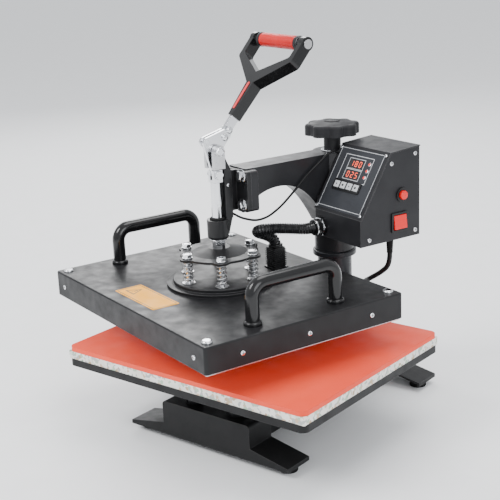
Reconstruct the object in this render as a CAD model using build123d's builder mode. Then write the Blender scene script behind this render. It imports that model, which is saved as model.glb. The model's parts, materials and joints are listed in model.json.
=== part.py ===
from build123d import *
from math import acos, cos, degrees, hypot, pi, radians, sin, tan
import os

os.makedirs("parts", exist_ok=True)

# Swing-away heat press. Millimetres, +Z up, +Y to the rear, +X to the right.
# The origin is on the floor under the middle of the bed. Everything the post
# carries is drawn in the arm frame: the same axes with the arm in line with
# the bed, turned about the post by the resting swing.

# ---- bed and pads -------------------------------------------------------
BED_W, BED_D, BED_T, BED_Z = 374.0, 294.0, 9.5, 93.0
BED_CORNER = 9.0
FOAM_T, FOAM_CORNER = 10.0, 2.0
SILICONE_T, SILICONE_CORNER = 6.0, 10.0
PAD_TOP = BED_Z + BED_T + FOAM_T + SILICONE_T

# ---- folded base --------------------------------------------------------
SHEET = 3.0
HAT_W, HAT_TOP, HAT_D = 140.0, 54.0, 43.0
WING_HALF, WING_Z, WING_TIP_Z, LIP_Z = 127.0, 24.0, 13.0, 8.0
FRONT_Y, REAR_Y = -101.0, 246.0
SPINE_W = 90.0
FOOT_D, FOOT_X = 22.0, 112.0
SPACER_D, SPACER_X = 22.0, 34.0

# ---- post ---------------------------------------------------------------
POST_Y, POST_D, POST_BORE = 189.0, 47.0, 36.0
POST_PLUG = 30.0
FLANGE_W, FLANGE_T, FLANGE_BOLT = 76.0, 8.0, 28.0
COLLAR_D, COLLAR_Z, COLLAR_T = 60.0, 185.0, 8.0
SWING = -17.2

# ---- arm ----------------------------------------------------------------
ARM_TOP, ARM_W, ARM_CAP = 331.0, 36.0, 9.0
ARM_FRONT, ARM_BLOCK_T, ARM_BLOCK_Z = 34.0, 11.0, 277.0
SLEEVE_D = 54.0
RUN_FIT, SEAT = 0.05, 0.3

# ---- pressure screw and knob -------------------------------------------
SCREW_D, SCREW_SHOULDER, SHOULDER_T = 16.0, 28.0, 4.0
WASHER_T = 2.0
KNOB_D, KNOB_LOBES, KNOB_Z, KNOB_H, KNOB_DOME = 74.0, 8, 353.0, 15.0, 3.0
NECK_D = 23.0

# ---- head ---------------------------------------------------------------
ROD_D = 14.0
BOSS_D, BOSS_Z, BOSS_TOP = 28.0, 243.0, 268.5
COLUMN_W, COLUMN_Y0, COLUMN_Y1, COLUMN_TOP = 18.0, 8.0, 18.5, 348.0
WEB_W, BRACKET_W, BRACKET_T = 10.0, 60.0, 6.0
BRACKET_BOLT_X, BRACKET_BOLT_PITCH = 18.0, 39.0
YOKE_HALF_W, YOKE_HALF_D, YOKE_Z, YOKE_H = 12.0, 8.0, 335.0, 15.0
SLOT_HALF, YOKE_WEB = 6.2, 1.5

# ---- linkage ------------------------------------------------------------
PIVOT_Z, ROD_PIN_Z = 358.0, 327.0
CRANK = 17.2
LINK_HALF, LINK_W = 2.0, 9.0
FORK_IN, FORK_OUT = 2.3, 5.3
PIN_D, PIVOT_D = 6.0, 8.0
CLEVIS_HALF, CLEVIS_BOTTOM, CLEVIS_TOP = 6.6, 317.0, 333.0
LEVER_LEAN = 40.8
GRIP_REACH = 166.0

# ---- platen -------------------------------------------------------------
PLATEN_W, PLATEN_D, PLATEN_TOP, PLATEN_H = 380.0, 290.0, 184.9, 35.2
PLATEN_Z = PLATEN_TOP - PLATEN_H
COVER_T, COVER_LIFT, HEATER_T = 1.5, 2.2, 16.0
CORNER_INSET_X, CORNER_INSET_Y = 14.0, 12.0
DISC_R, DISC_T, UPPER_DISC_R, UPPER_DISC_T = 70.0, 3.6, 61.5, 4.5
SPRING_R, SPRINGS, SPRING_OD, SPRING_WIRE, SPRING_TURNS = 48.0, 6, 13.0, 1.8, 5
PLATE_Z, PLATE_T, LOBE_R, PLATE_R, DOME_R, DOME_H = 222.5, 3.0, 10.0, 50.5, 36.0, 6.5
BOLT_D = 6.0
HANDLE_D, HANDLE_X, HANDLE_LEG, HANDLE_H, HANDLE_BEND = 17.0, 162.0, 61.0, 57.6, 17.0
TERMINAL_Z = 214.0

# ---- control box --------------------------------------------------------
BOX_X0, BOX_X1, BOX_Y0, BOX_Y1, BOX_Z = 28.5, 121.0, 136.0, 236.0, 228.5
PANEL_FOOT_Z, PANEL_HEAD_Y, PANEL_HEAD_Z, BOX_TOP = 264.0, 186.0, 344.5, 348.0
BOX_SHEET, LID_X0, LID_X1 = 1.5, 25.5, 122.5
BUTTONS, BUTTON_W, BUTTON_H, BUTTON_PITCH, BUTTON_U, BUTTON_V = 4, 9.6, 9.1, 12.5, -21.5, -8.5
BUTTON_FIT = 0.3
DISPLAY_W, DISPLAY_H, DISPLAY_U, DISPLAY_V = 29.0, 12.3, -3.0, (23.2, 8.0)
LAMP_D, LAMP_U, LAMP_V = 3.4, 22.3, (26.0, 16.7, 7.6)
ROCKER_Y, ROCKER_Z, ROCKER_W, ROCKER_H, ROCKER_TILT = 201.0, 251.5, 21.0, 20.0, 6.0
RESET_Y, RESET_Z, RESET_D, RESET_RING = 205.5, 286.8, 12.0, 19.0

# ---- wiring -------------------------------------------------------------
CONDUIT_D, GLAND_D, GLAND_X, GLAND_Z, GLAND_L = 15.5, 21.0, 40.0, 242.0, 14.0
LEAD_D, CORD_D = 3.0, 7.0
CORD_ROUTE = [
    (104.6, 164.5, 207.8), (104.6, 164.5, 191.5), (84.5, 175.2, 174.5), (52.0, 192.5, 154.0),
    (28.0, 222.0, 140.0), (14.0, 262.0, 106.0), (8.0, 274.0, 58.0), (2.0, 298.0, 28.0),
    (-2.0, 330.0, 17.5),
]
CONDUIT_ROUTE = [
    (GLAND_X, BOX_Y0 - GLAND_L, GLAND_Z), (GLAND_X, 111.0, GLAND_Z), (30.0, 98.0, 243.0), (19.0, 80.0, 244.8),
    (10.0, 62.5, 245.0), (-7.0, 62.0, 238.0), (-4.0, 79.0, 231.0), (-0.5, 89.5, 223.0),
    (-0.5, 89.5, TERMINAL_Z),
]
LEAD_ROUTE = [
    (-4.0, 23.5, 271.5), (2.0, 23.5, 271.5), (12.5, 29.0, 266.8), (20.0, 45.8, 261.5), (21.0, 64.0, 263.5),
    (22.0, 84.5, 274.0), (22.0, 107.9, 291.9), (22.0, 126.5, 307.6), (22.5, 148.6, 322.5),
    (24.5, 160.0, 332.0), (27.2, 169.5, 336.9), (27.2, 177.8, 331.7),
]
RELIEF_L, RELIEF_D = 24.0, 11.0
COIL_R, COIL_W, COIL_H = 38.0, 14.0, 21.0
COIL_X, COIL_Y = CORD_ROUTE[-1][0] - COIL_R, CORD_ROUTE[-1][1]
PLUG_L, PLUG_W, PLUG_T = 34.0, 24.0, 18.0

# ---- linkage geometry worked out from the sizes above -------------------
STROKE = PLATEN_Z - PAD_TOP - SEAT
PIN_GAP = PIVOT_Z - ROD_PIN_Z
LINK_L = PIN_GAP + STROKE - CRANK
THROW = degrees(acos((CRANK**2 + PIN_GAP**2 - LINK_L**2) / (2 * CRANK * PIN_GAP)))
CRANK_Y, CRANK_Z = -CRANK * sin(radians(THROW)), PIVOT_Z - CRANK * cos(radians(THROW))
LINK_LEAN = degrees(acos((CRANK_Z - ROD_PIN_Z) / LINK_L))
print("stroke", round(STROKE, 3), "throw", round(THROW, 3), "link lean", round(LINK_LEAN, 3))

# ---- frames -------------------------------------------------------------
WORLD = Plane.XY
ARM = Plane(Pos(0, POST_Y, 0) * Rot(0, 0, SWING) * Pos(0, -POST_Y, 0))
HEAD_AXIS = Axis(ARM.origin, (0, 0, 1))


def level(frame, z):
    """Horizontal plane of a frame at height z."""
    return frame.offset(z)


def side(frame, x):
    """Plane seen from the right: local x runs to the rear, local y up."""
    return Plane(origin=frame.from_local_coords((x, 0, 0)), x_dir=frame.y_dir, z_dir=frame.x_dir)


def front(frame, y):
    """Plane seen from the front: local x runs right, local y up, normal forward."""
    return Plane(origin=frame.from_local_coords((0, y, 0)), x_dir=frame.x_dir, z_dir=-frame.y_dir)


def tilted(origin, normal):
    """Plane in the arm frame, local x along the arm's x axis."""
    centre = ARM.from_local_coords(origin)
    tip = ARM.from_local_coords(tuple(o + n for o, n in zip(origin, normal)))
    return Plane(origin=centre, x_dir=ARM.x_dir, z_dir=tip - centre)


PANEL_RISE, PANEL_RUN = PANEL_HEAD_Z - PANEL_FOOT_Z, PANEL_HEAD_Y - BOX_Y0
PANEL_X = (24.0 + 122.0) / 2
PANEL = tilted(
    (PANEL_X, BOX_Y0 + PANEL_RUN / 2, PANEL_FOOT_Z + PANEL_RISE / 2), (0, -PANEL_RISE, PANEL_RUN)
)
PANEL_L = hypot(PANEL_RISE, PANEL_RUN)
# lever frame: local y runs from the pivot to the grip, local x to the right
LEVER = tilted((0, 0, PIVOT_Z), (0, -cos(radians(LEVER_LEAN)), sin(radians(LEVER_LEAN))))


def finish(shape, name):
    """Label a finished piece and write it."""
    shape.part.label = name
    export_step(shape.part, f"parts/{name}.step")


def bend_radii(route, name):
    """Tangent arcs for a route: 0.45 of the shorter run over tan(half turn)."""
    radii = []
    for a, b, c in zip(route, route[1:], route[2:]):
        first, second = Vector(b) - Vector(a), Vector(c) - Vector(b)
        half_turn = radians(first.get_angle(second)) / 2
        radii.append(0.45 * min(first.length, second.length) / tan(half_turn))
    print(name, "bend radii", [round(r, 1) for r in radii])
    return radii


def tube(frame, route, diameter, name):
    """Round cord or lead along a route given in a frame."""
    with BuildPart() as piece:
        with BuildLine(frame):
            run = FilletPolyline(*route, radius=bend_radii(route, name))
        with BuildSketch(Plane(origin=run @ 0, z_dir=run % 0)):
            Circle(diameter / 2)
        sweep()
    solid = piece.part.volume / (pi * diameter**2 / 4)
    print(name, "length", round(run.length, 1), "solid length", round(solid, 1))
    return piece


def disc(plane, diameter, amount, mode=Mode.ADD):
    """Add a round boss, shank or hole standing on a plane to the part being built."""
    with BuildSketch(plane) as circle:
        Circle(diameter / 2)
    extrude(circle.sketch, amount=amount, mode=mode)


def hex_bolt(plane, across, head, shank_d, shank_l):
    """Add a hexagon bolt: head on the outer side of the plane, shank behind it."""
    with BuildSketch(plane) as hexagon:
        RegularPolygon(across / 2, 6, major_radius=False)
    extrude(hexagon.sketch, amount=head)
    disc(plane, shank_d, -shank_l)


def shifted(plane, u, v, w=0):
    """The same plane moved along its own axes."""
    return Plane(origin=plane.from_local_coords((u, v, w)), x_dir=plane.x_dir, z_dir=plane.z_dir)


# ==== base ===============================================================
HAT = [
    (-WING_HALF, LIP_Z), (-WING_HALF, WING_TIP_Z), (-HAT_W / 2, WING_Z), (-HAT_W / 2, HAT_TOP),
    (HAT_W / 2, HAT_TOP), (HAT_W / 2, WING_Z), (WING_HALF, WING_TIP_Z), (WING_HALF, LIP_Z),
]
HAT_BEND = 5.0
POST_BOLT_D = 8.0
POST_BOLTS = [(x, POST_Y + y) for x in (-FLANGE_BOLT, FLANGE_BOLT) for y in (-FLANGE_BOLT, FLANGE_BOLT)]
CAP_Z = ARM_TOP - ARM_CAP
FLAT = 0.1
WASHER_Z = CAP_Z - FLAT - WASHER_T
SHOULDER_Z = WASHER_Z - FLAT - SHOULDER_T
POST_TOP = SHOULDER_Z - SEAT


def base_frame():
    """Folded sheet: a hat section at each end, joined by a spine under the bed."""
    with BuildPart() as piece:
        for y0, plate_y in ((FRONT_Y, FRONT_Y), (REAR_Y - HAT_D, REAR_Y - SHEET)):
            with BuildSketch(front(WORLD, y0 + HAT_D)) as outline:
                Polygon(*HAT, align=None)
                fillet(outline.vertices().group_by(Axis.Y)[-1], HAT_BEND)
                offset(amount=-SHEET, kind=Kind.INTERSECTION, mode=Mode.SUBTRACT)
            extrude(amount=HAT_D)
            with Locations((0, y0 + HAT_D / 2, LIP_Z + SHEET / 2)):
                Box(2 * (WING_HALF - SHEET), HAT_D, SHEET, mode=Mode.SUBTRACT)
            with BuildSketch(front(WORLD, plate_y + SHEET)) as plate:
                Polygon(*HAT, align=None)
                fillet(plate.vertices().group_by(Axis.Y)[-1], HAT_BEND)
            extrude(amount=SHEET)
        spine_start, spine_end = FRONT_Y + HAT_D / 2, REAR_Y - HAT_D / 2
        with BuildSketch(front(WORLD, spine_end)):
            with Locations((0, LIP_Z)):
                Rectangle(SPINE_W, HAT_TOP - LIP_Z, align=(Align.CENTER, Align.MIN))
                Rectangle(
                    SPINE_W - 2 * SHEET, HAT_TOP - LIP_Z - SHEET, align=(Align.CENTER, Align.MIN),
                    mode=Mode.SUBTRACT,
                )
        extrude(amount=spine_end - spine_start)
        with Locations(*[(x, y, HAT_TOP - SHEET / 2) for x, y in POST_BOLTS]):
            Cylinder(POST_BOLT_D / 2, 2 * SHEET, mode=Mode.SUBTRACT)
    finish(piece, "base_frame")


def rubber_feet():
    """Four feet, their tops cut to the slope of the wings they are fixed under."""
    slope = Vector(WING_Z - WING_TIP_Z, 0, WING_HALF - HAT_W / 2).normalized()
    with BuildPart() as piece:
        with BuildSketch():
            with GridLocations(2 * FOOT_X, REAR_Y - FRONT_Y - HAT_D, 2, 2):
                Circle(FOOT_D / 2)
        extrude(amount=WING_Z)
        for hand in (-1, 1):
            under = Vector(hand * (HAT_W / 2 - SHEET * slope.X), 0, WING_Z - SHEET * slope.Z)
            wing = Plane(origin=under, z_dir=(hand * slope.X, 0, slope.Z))
            split(bisect_by=wing, keep=Keep.BOTTOM)
    piece.part.position = (0, (FRONT_Y + REAR_Y) / 2, 0)
    finish(piece, "rubber_feet")


def post():
    """Flanged tube with a threaded plug at its top."""
    with BuildPart() as piece:
        with BuildSketch(level(WORLD, HAT_TOP)):
            with Locations((0, POST_Y)):
                RectangleRounded(FLANGE_W, FLANGE_W, 8)
            with Locations(*POST_BOLTS):
                Circle(POST_BOLT_D / 2, mode=Mode.SUBTRACT)
        extrude(amount=FLANGE_T)
        with Locations((0, POST_Y, HAT_TOP)):
            Cylinder(POST_D / 2, POST_TOP - HAT_TOP, align=(Align.CENTER, Align.CENTER, Align.MIN))
            Cylinder(
                POST_BORE / 2, POST_TOP - POST_PLUG - HAT_TOP, mode=Mode.SUBTRACT,
                align=(Align.CENTER, Align.CENTER, Align.MIN),
            )
            Cylinder(
                SCREW_D / 2 + RUN_FIT, POST_TOP - HAT_TOP, mode=Mode.SUBTRACT,
                align=(Align.CENTER, Align.CENTER, Align.MIN),
            )
    finish(piece, "post")


def post_bolts():
    """Bolts through the post flange and the spine, each with its nut."""
    nut, grip = 6.5, FLANGE_T + SHEET
    with BuildPart() as piece:
        for x, y in POST_BOLTS:
            seat = Plane(origin=(x, y, HAT_TOP + FLANGE_T))
            hex_bolt(seat, 13.0, 5.3, POST_BOLT_D, grip + nut + 2)
            with BuildSketch(seat.offset(-grip)) as ring:
                RegularPolygon(6.5, 6, major_radius=False)
            extrude(ring.sketch, amount=-nut)
    finish(piece, "post_bolts")


def stop_collar():
    """Ring the sleeve rests above when the arm is at its lowest."""
    with BuildPart() as piece:
        with BuildSketch(level(WORLD, COLLAR_Z)):
            with Locations((0, POST_Y)):
                Circle(COLLAR_D / 2)
                Circle(POST_D / 2, mode=Mode.SUBTRACT)
        extrude(amount=COLLAR_T)
        rims = piece.edges().filter_by(GeomType.CIRCLE).sort_by(SortBy.RADIUS)[-2:]
        fillet(rims, 2)
    finish(piece, "stop_collar")


def slab(name, width, depth, corner, z, thickness):
    """Flat plate or pad with rounded corners."""
    with BuildPart() as piece:
        with BuildSketch(level(WORLD, z)):
            RectangleRounded(width, depth, corner)
        extrude(amount=thickness)
    finish(piece, name)


def bed_spacers():
    """Four columns that carry the bed on the front box and the spine."""
    front_row, rear_row = FRONT_Y + HAT_D / 2, BED_D / 2 - HAT_D
    with BuildPart() as piece:
        with BuildSketch(level(WORLD, HAT_TOP)):
            with Locations(*[(x, y) for x in (-SPACER_X, SPACER_X) for y in (front_row, rear_row)]):
                Circle(SPACER_D / 2)
        extrude(amount=BED_Z - HAT_TOP)
    finish(piece, "bed_spacers")


# ==== lift, screw and knob ==============================================
def thrust_washer():
    """Washer between the screw's shoulder and the cap of the arm."""
    with BuildPart() as piece:
        with BuildSketch(level(WORLD, WASHER_Z)):
            with Locations((0, POST_Y)):
                Circle(SCREW_SHOULDER / 2)
                Circle(SCREW_D / 2 + SEAT, mode=Mode.SUBTRACT)
        extrude(amount=WASHER_T)
    finish(piece, "thrust_washer")


SCREW_BOTTOM = POST_TOP - POST_PLUG - 12.0
SCREW_TOP = KNOB_Z + KNOB_H - 6.0
NECK_Z = ARM_TOP + SEAT


def pressure_screw():
    """Adjusting screw: its thread runs in the post's plug, its shoulder lifts the arm."""
    with BuildPart() as piece:
        with Locations((0, POST_Y, SCREW_BOTTOM)):
            Cylinder(SCREW_D / 2, SCREW_TOP - SCREW_BOTTOM, align=(Align.CENTER, Align.CENTER, Align.MIN))
        with Locations((0, POST_Y, SHOULDER_Z)):
            Cylinder(SCREW_SHOULDER / 2, SHOULDER_T, align=(Align.CENTER, Align.CENTER, Align.MIN))
        chamfer(piece.edges().group_by(Axis.Z)[0], 1.5)
    finish(piece, "pressure_screw")


def pressure_knob():
    """Eight-lobed hand knob with a slim neck, bored for the screw."""
    lobe_r = 10.0
    with BuildPart() as piece:
        with BuildSketch(level(WORLD, KNOB_Z)) as outline:
            with Locations((0, POST_Y)):
                Circle(KNOB_D / 2 - 4.5)
                with PolarLocations(KNOB_D / 2 - lobe_r, KNOB_LOBES):
                    Circle(lobe_r)
            fillet(outline.vertices(), 3)
        extrude(amount=KNOB_H)
        fillet(piece.faces().sort_by(Axis.Z)[-1].edges(), 3.5)
        with BuildSketch(side(WORLD, 0)):
            with BuildLine():
                apex, rim = (POST_Y, KNOB_Z + KNOB_H + KNOB_DOME), (POST_Y + KNOB_D / 2 - 8, KNOB_Z + KNOB_H)
                ThreePointArc(apex, (POST_Y + 16, KNOB_Z + KNOB_H + 2.1), rim)
                Polyline(rim, (POST_Y, KNOB_Z + KNOB_H), apex)
            make_face()
        revolve(axis=Axis((0, POST_Y, 0), (0, 0, 1)))
        with Locations((0, POST_Y, NECK_Z)):
            Cylinder(NECK_D / 2, KNOB_Z - NECK_Z, align=(Align.CENTER, Align.CENTER, Align.MIN))
            Cylinder(
                SCREW_D / 2, SCREW_TOP - NECK_Z, mode=Mode.SUBTRACT,
                align=(Align.CENTER, Align.CENTER, Align.MIN),
            )
    finish(piece, "pressure_knob")


# ==== arm and head =======================================================
SLEEVE_Z = COLLAR_Z + COLLAR_T + SEAT
BRACKET_Y = ARM_FRONT - BRACKET_T
BRACKET_MID_Z = (ARM_BLOCK_Z + ARM_TOP) / 2
BRACKET_BOLTS = [
    (x, BRACKET_MID_Z + z) for x in (-BRACKET_BOLT_X, BRACKET_BOLT_X)
    for z in (-BRACKET_BOLT_PITCH / 2, BRACKET_BOLT_PITCH / 2)
]
BRACKET_BOLT_D = 8.0


def arm():
    """Cast arm: sleeve on the post, arched beam, head block and the box's boss."""
    block_back = ARM_FRONT + ARM_BLOCK_T
    sleeve_front = POST_Y - SLEEVE_D / 2 + 2
    with BuildPart(ARM) as piece:
        with BuildSketch(side(ARM, -ARM_W / 2)):
            with BuildLine():
                arch = Spline(
                    (block_back, ARM_BLOCK_Z + 12), (92, 300), (118, 292), (137, 276), (sleeve_front, 236)
                )
                Polyline(
                    arch @ 1, (POST_Y, 236), (POST_Y, ARM_TOP), (ARM_FRONT, ARM_TOP),
                    (ARM_FRONT, ARM_BLOCK_Z + 12), arch @ 0,
                )
            make_face()
        extrude(amount=ARM_W)
        with BuildSketch(front(ARM, block_back)) as block:
            with Locations((0, ARM_BLOCK_Z)):
                Rectangle(BRACKET_W, ARM_TOP - ARM_BLOCK_Z - 1.5, align=(Align.CENTER, Align.MIN))
            fillet(block.vertices(), 4)
        extrude(amount=ARM_BLOCK_T)
        with BuildSketch(side(ARM, 0)):
            with Locations((BOX_Y0 + 19, 270)):
                Rectangle(14, 13)
        extrude(amount=BOX_X0)
        with Locations((0, POST_Y, SLEEVE_Z)):
            Cylinder(SLEEVE_D / 2, ARM_TOP - SLEEVE_Z, align=(Align.CENTER, Align.CENTER, Align.MIN))
            Cylinder(
                POST_D / 2 + RUN_FIT, CAP_Z - SLEEVE_Z, mode=Mode.SUBTRACT,
                align=(Align.CENTER, Align.CENTER, Align.MIN),
            )
            Cylinder(
                SCREW_D / 2 + SEAT, ARM_TOP - SLEEVE_Z, mode=Mode.SUBTRACT,
                align=(Align.CENTER, Align.CENTER, Align.MIN),
            )
        for x, z in BRACKET_BOLTS:
            disc(shifted(front(ARM, ARM_FRONT), x, z), BRACKET_BOLT_D, -ARM_BLOCK_T, Mode.SUBTRACT)
    finish(piece, "arm")


def head_bracket():
    """Casting bolted to the arm: flange, web, column and the boss that guides the rod."""
    with BuildPart(ARM) as piece:
        with BuildSketch(side(ARM, -COLUMN_W / 2)):
            Polygon(
                (COLUMN_Y0, BOSS_Z + 5), (COLUMN_Y0, COLUMN_TOP), (COLUMN_Y0 + 2, COLUMN_TOP),
                (COLUMN_Y1, 330), (COLUMN_Y1, 273), (11.0, BOSS_Z + 5), align=None,
            )
        extrude(amount=COLUMN_W)
        with BuildSketch(side(ARM, -WEB_W / 2)):
            Polygon(
                (COLUMN_Y1 - 2, 330), (ARM_FRONT, ARM_TOP - 2), (ARM_FRONT, ARM_BLOCK_Z),
                (COLUMN_Y1 - 2, ARM_BLOCK_Z), align=None,
            )
        extrude(amount=WEB_W)
        with BuildSketch(front(ARM, ARM_FRONT)) as flange:
            with Locations((0, ARM_BLOCK_Z)):
                Rectangle(BRACKET_W, ARM_TOP - ARM_BLOCK_Z - 1.5, align=(Align.CENTER, Align.MIN))
            fillet(flange.vertices(), 4)
        extrude(amount=BRACKET_T)
        with Locations((0, 0, BOSS_Z)):
            Cylinder(BOSS_D / 2, BOSS_TOP - BOSS_Z, align=(Align.CENTER, Align.CENTER, Align.MIN))
        low_rim = piece.edges().filter_by(GeomType.CIRCLE).group_by(Axis.Z)[0]
        fillet(low_rim, 4)
        with Locations((0, 0, BOSS_Z)):
            Cylinder(
                ROD_D / 2 + RUN_FIT, BOSS_TOP - BOSS_Z + 1, mode=Mode.SUBTRACT,
                align=(Align.CENTER, Align.CENTER, Align.MIN),
            )
        for x, z in BRACKET_BOLTS:
            disc(shifted(front(ARM, BRACKET_Y), x, z), BRACKET_BOLT_D, -BRACKET_T, Mode.SUBTRACT)
    finish(piece, "head_bracket")


def bracket_bolts():
    """Four bolts that hold the head to the arm."""
    with BuildPart(ARM) as piece:
        for x, z in BRACKET_BOLTS:
            hex_bolt(
                shifted(front(ARM, BRACKET_Y), x, z), 12.5, 5.3, BRACKET_BOLT_D, BRACKET_T + ARM_BLOCK_T
            )
    finish(piece, "bracket_bolts")


def yoke():
    """Steel fork that carries the lever pivot in front of the column."""
    web_face = YOKE_HALF_D - YOKE_WEB
    yoke_top = YOKE_Z + YOKE_H
    with BuildPart(ARM) as piece:
        with BuildSketch(side(ARM, -YOKE_HALF_W)):
            with Locations((0, YOKE_Z)):
                Rectangle(2 * YOKE_HALF_D, PIVOT_Z - YOKE_Z, align=(Align.CENTER, Align.MIN))
            with Locations((0, PIVOT_Z)):
                Circle(YOKE_HALF_D)
                Circle(PIVOT_D / 2, mode=Mode.SUBTRACT)
        extrude(amount=2 * YOKE_HALF_W)
        with BuildSketch(level(ARM, YOKE_Z)):
            with Locations((0, web_face)):
                Rectangle(2 * SLOT_HALF, 3 * YOKE_HALF_D, align=(Align.CENTER, Align.MAX))
        extrude(amount=YOKE_H, mode=Mode.SUBTRACT)
        with BuildSketch(level(ARM, yoke_top)):
            Rectangle(2 * SLOT_HALF, 3 * YOKE_HALF_D)
        extrude(amount=3 * YOKE_HALF_D, mode=Mode.SUBTRACT)
    finish(piece, "yoke")


def pivot_studs():
    """Two headed studs at the lever pivot, one through each ear and fork plate."""
    with BuildPart(ARM) as piece:
        for hand in (-1, 1):
            ear = shifted(side(ARM, hand * YOKE_HALF_W), 0, PIVOT_Z)
            disc(ear, PIVOT_D, hand * (FORK_IN - YOKE_HALF_W))
            disc(ear, 1.6 * PIVOT_D, hand * 3.0)
    finish(piece, "pivot_studs")


# ==== lever ==============================================================
STEM_FOOT, STEM_THICK, STEM_DEEP = 49.0, 8.0, 16.0
LEVER_BAR_U, LEVER_BAR_DEEP, SOCKET_TOP = 16.0, 12.0, 70.0
ROOT_U = 26.0
FORK_EDGE = 6.2
RIVET_U = (20.0, 31.0)
GRIP_HALF, GRIP_CUT, GRIP_D, GRIP_ROD, COLLAR_END = 57.0, 134.0, 18.0, 8.0, 43.0
GRIP_BARREL_HALF = 37.0
INLAY_U0, INLAY_U1, INLAY_W, INLAY_T = 58.0, 98.0, 4.0, 0.8
ROOT_Y = ROOT_U * sin(radians(LEVER_LEAN))
ROOT_Z = PIVOT_Z + ROOT_U * cos(radians(LEVER_LEAN))


def across(frame, x, u, w):
    """Plane facing right in the lever, at height u along it and w out of it."""
    return Plane(
        origin=frame.from_local_coords((x, u, w)), x_dir=frame.y_dir, z_dir=frame.x_dir
    )


def lever_fork():
    """Two bell-crank plates: lever pivot, crank pin and the root of the bar."""
    with BuildPart() as piece:
        for x in (-FORK_OUT, FORK_IN):
            with BuildSketch(side(ARM, x)) as plate:
                Polygon((0, PIVOT_Z), (CRANK_Y, CRANK_Z), (ROOT_Y, ROOT_Z), align=None)
                offset(amount=FORK_EDGE, kind=Kind.ARC)
                with Locations((0, PIVOT_Z)):
                    Circle(PIVOT_D / 2 + RUN_FIT, mode=Mode.SUBTRACT)
                with Locations((CRANK_Y, CRANK_Z)):
                    Circle(PIN_D / 2, mode=Mode.SUBTRACT)
            extrude(plate.sketch, amount=FORK_OUT - FORK_IN)
        for u in RIVET_U:
            disc(across(LEVER, -FORK_OUT, u, 0), PIN_D, 2 * FORK_OUT, Mode.SUBTRACT)
    finish(piece, "lever_fork")


def lever_bar():
    """Flat bar between the fork plates, plugged into the handle's stem."""
    with BuildPart() as piece:
        with BuildSketch(LEVER.offset(-LEVER_BAR_DEEP / 2)):
            with Locations((0, LEVER_BAR_U)):
                Rectangle(2 * FORK_IN, SOCKET_TOP - LEVER_BAR_U, align=(Align.CENTER, Align.MIN))
        extrude(amount=LEVER_BAR_DEEP)
        for u in RIVET_U:
            disc(across(LEVER, -FORK_IN, u, 0), PIN_D, 2 * FORK_IN, Mode.SUBTRACT)
    finish(piece, "lever_bar")


def lever_rivets():
    """Two rivets through plates and bar, and a stud in each plate at the crank pin."""
    head = 1.6
    with BuildPart() as piece:
        for u in RIVET_U:
            disc(across(LEVER, -FORK_OUT - head, u, 0), PIN_D, 2 * (FORK_OUT + head))
            disc(across(LEVER, FORK_OUT, u, 0), 1.5 * PIN_D, head)
            disc(across(LEVER, -FORK_OUT - head, u, 0), 1.5 * PIN_D, head)
        for hand in (-1, 1):
            crank = shifted(side(ARM, hand * FORK_IN), CRANK_Y, CRANK_Z)
            disc(crank, PIN_D, hand * (FORK_OUT - FORK_IN + SEAT))
    finish(piece, "lever_rivets")


def handle_frame():
    """Y-shaped handle: stem, two splayed legs and the straps that hold the grip."""
    strap = STEM_THICK
    right = [
        (STEM_THICK / 2, STEM_FOOT), (STEM_THICK / 2 + 3, 98), (GRIP_HALF, GRIP_CUT),
        (GRIP_HALF, GRIP_REACH + 12), (GRIP_HALF - strap, GRIP_REACH + 12),
        (GRIP_HALF - strap, GRIP_CUT + 6), (0, 114),
    ]
    left = [(-x, u) for x, u in reversed(right[:-1])]
    with BuildPart() as piece:
        with BuildSketch(LEVER.offset(-STEM_DEEP)) as outline:
            Polygon(*right, *left, align=None)
            strap_x = GRIP_HALF - strap - 1
            bends = outline.vertices().filter_by(lambda v: abs(v.X) > strap_x and v.Y < GRIP_REACH)
            fillet(bends, 6)
        extrude(amount=2 * STEM_DEEP)
        with BuildSketch(across(LEVER, -GRIP_HALF, 0, 0)):
            with Locations((STEM_FOOT, 0)):
                Rectangle(GRIP_REACH - STEM_FOOT, STEM_DEEP, align=(Align.MIN, Align.CENTER))
            with Locations((GRIP_REACH, 0)):
                Circle(GRIP_D / 2)
        extrude(amount=2 * GRIP_HALF, mode=Mode.INTERSECT)
        with BuildSketch(LEVER.offset(-LEVER_BAR_DEEP / 2)):
            with Locations((0, STEM_FOOT)):
                Rectangle(2 * FORK_IN, SOCKET_TOP - STEM_FOOT, align=(Align.CENTER, Align.MIN))
        extrude(amount=LEVER_BAR_DEEP, mode=Mode.SUBTRACT)
        disc(across(LEVER, -GRIP_HALF, GRIP_REACH, 0), GRIP_ROD, 2 * GRIP_HALF, Mode.SUBTRACT)
    finish(piece, "handle_frame")


def handle_inlay():
    """Coloured strip let on to the front of the stem."""
    with BuildPart() as piece:
        with BuildSketch(LEVER.offset(STEM_DEEP / 2)):
            with Locations((0, (INLAY_U0 + INLAY_U1) / 2)):
                SlotOverall(INLAY_U1 - INLAY_U0, INLAY_W, rotation=90)
        extrude(amount=INLAY_T)
    finish(piece, "handle_inlay")


def grip_rod():
    """Rod through both straps, with the collars that hold the grip in the middle."""
    cap = 1.6
    with BuildPart() as piece:
        disc(across(LEVER, -GRIP_HALF - cap, GRIP_REACH, 0), GRIP_ROD, 2 * (GRIP_HALF + cap))
        for x in (-GRIP_HALF - cap, GRIP_HALF):
            disc(across(LEVER, x, GRIP_REACH, 0), 1.5 * GRIP_ROD, cap)
        for x in (-COLLAR_END, GRIP_BARREL_HALF):
            disc(across(LEVER, x, GRIP_REACH, 0), GRIP_D - 1, COLLAR_END - GRIP_BARREL_HALF)
    finish(piece, "grip_rod")


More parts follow.
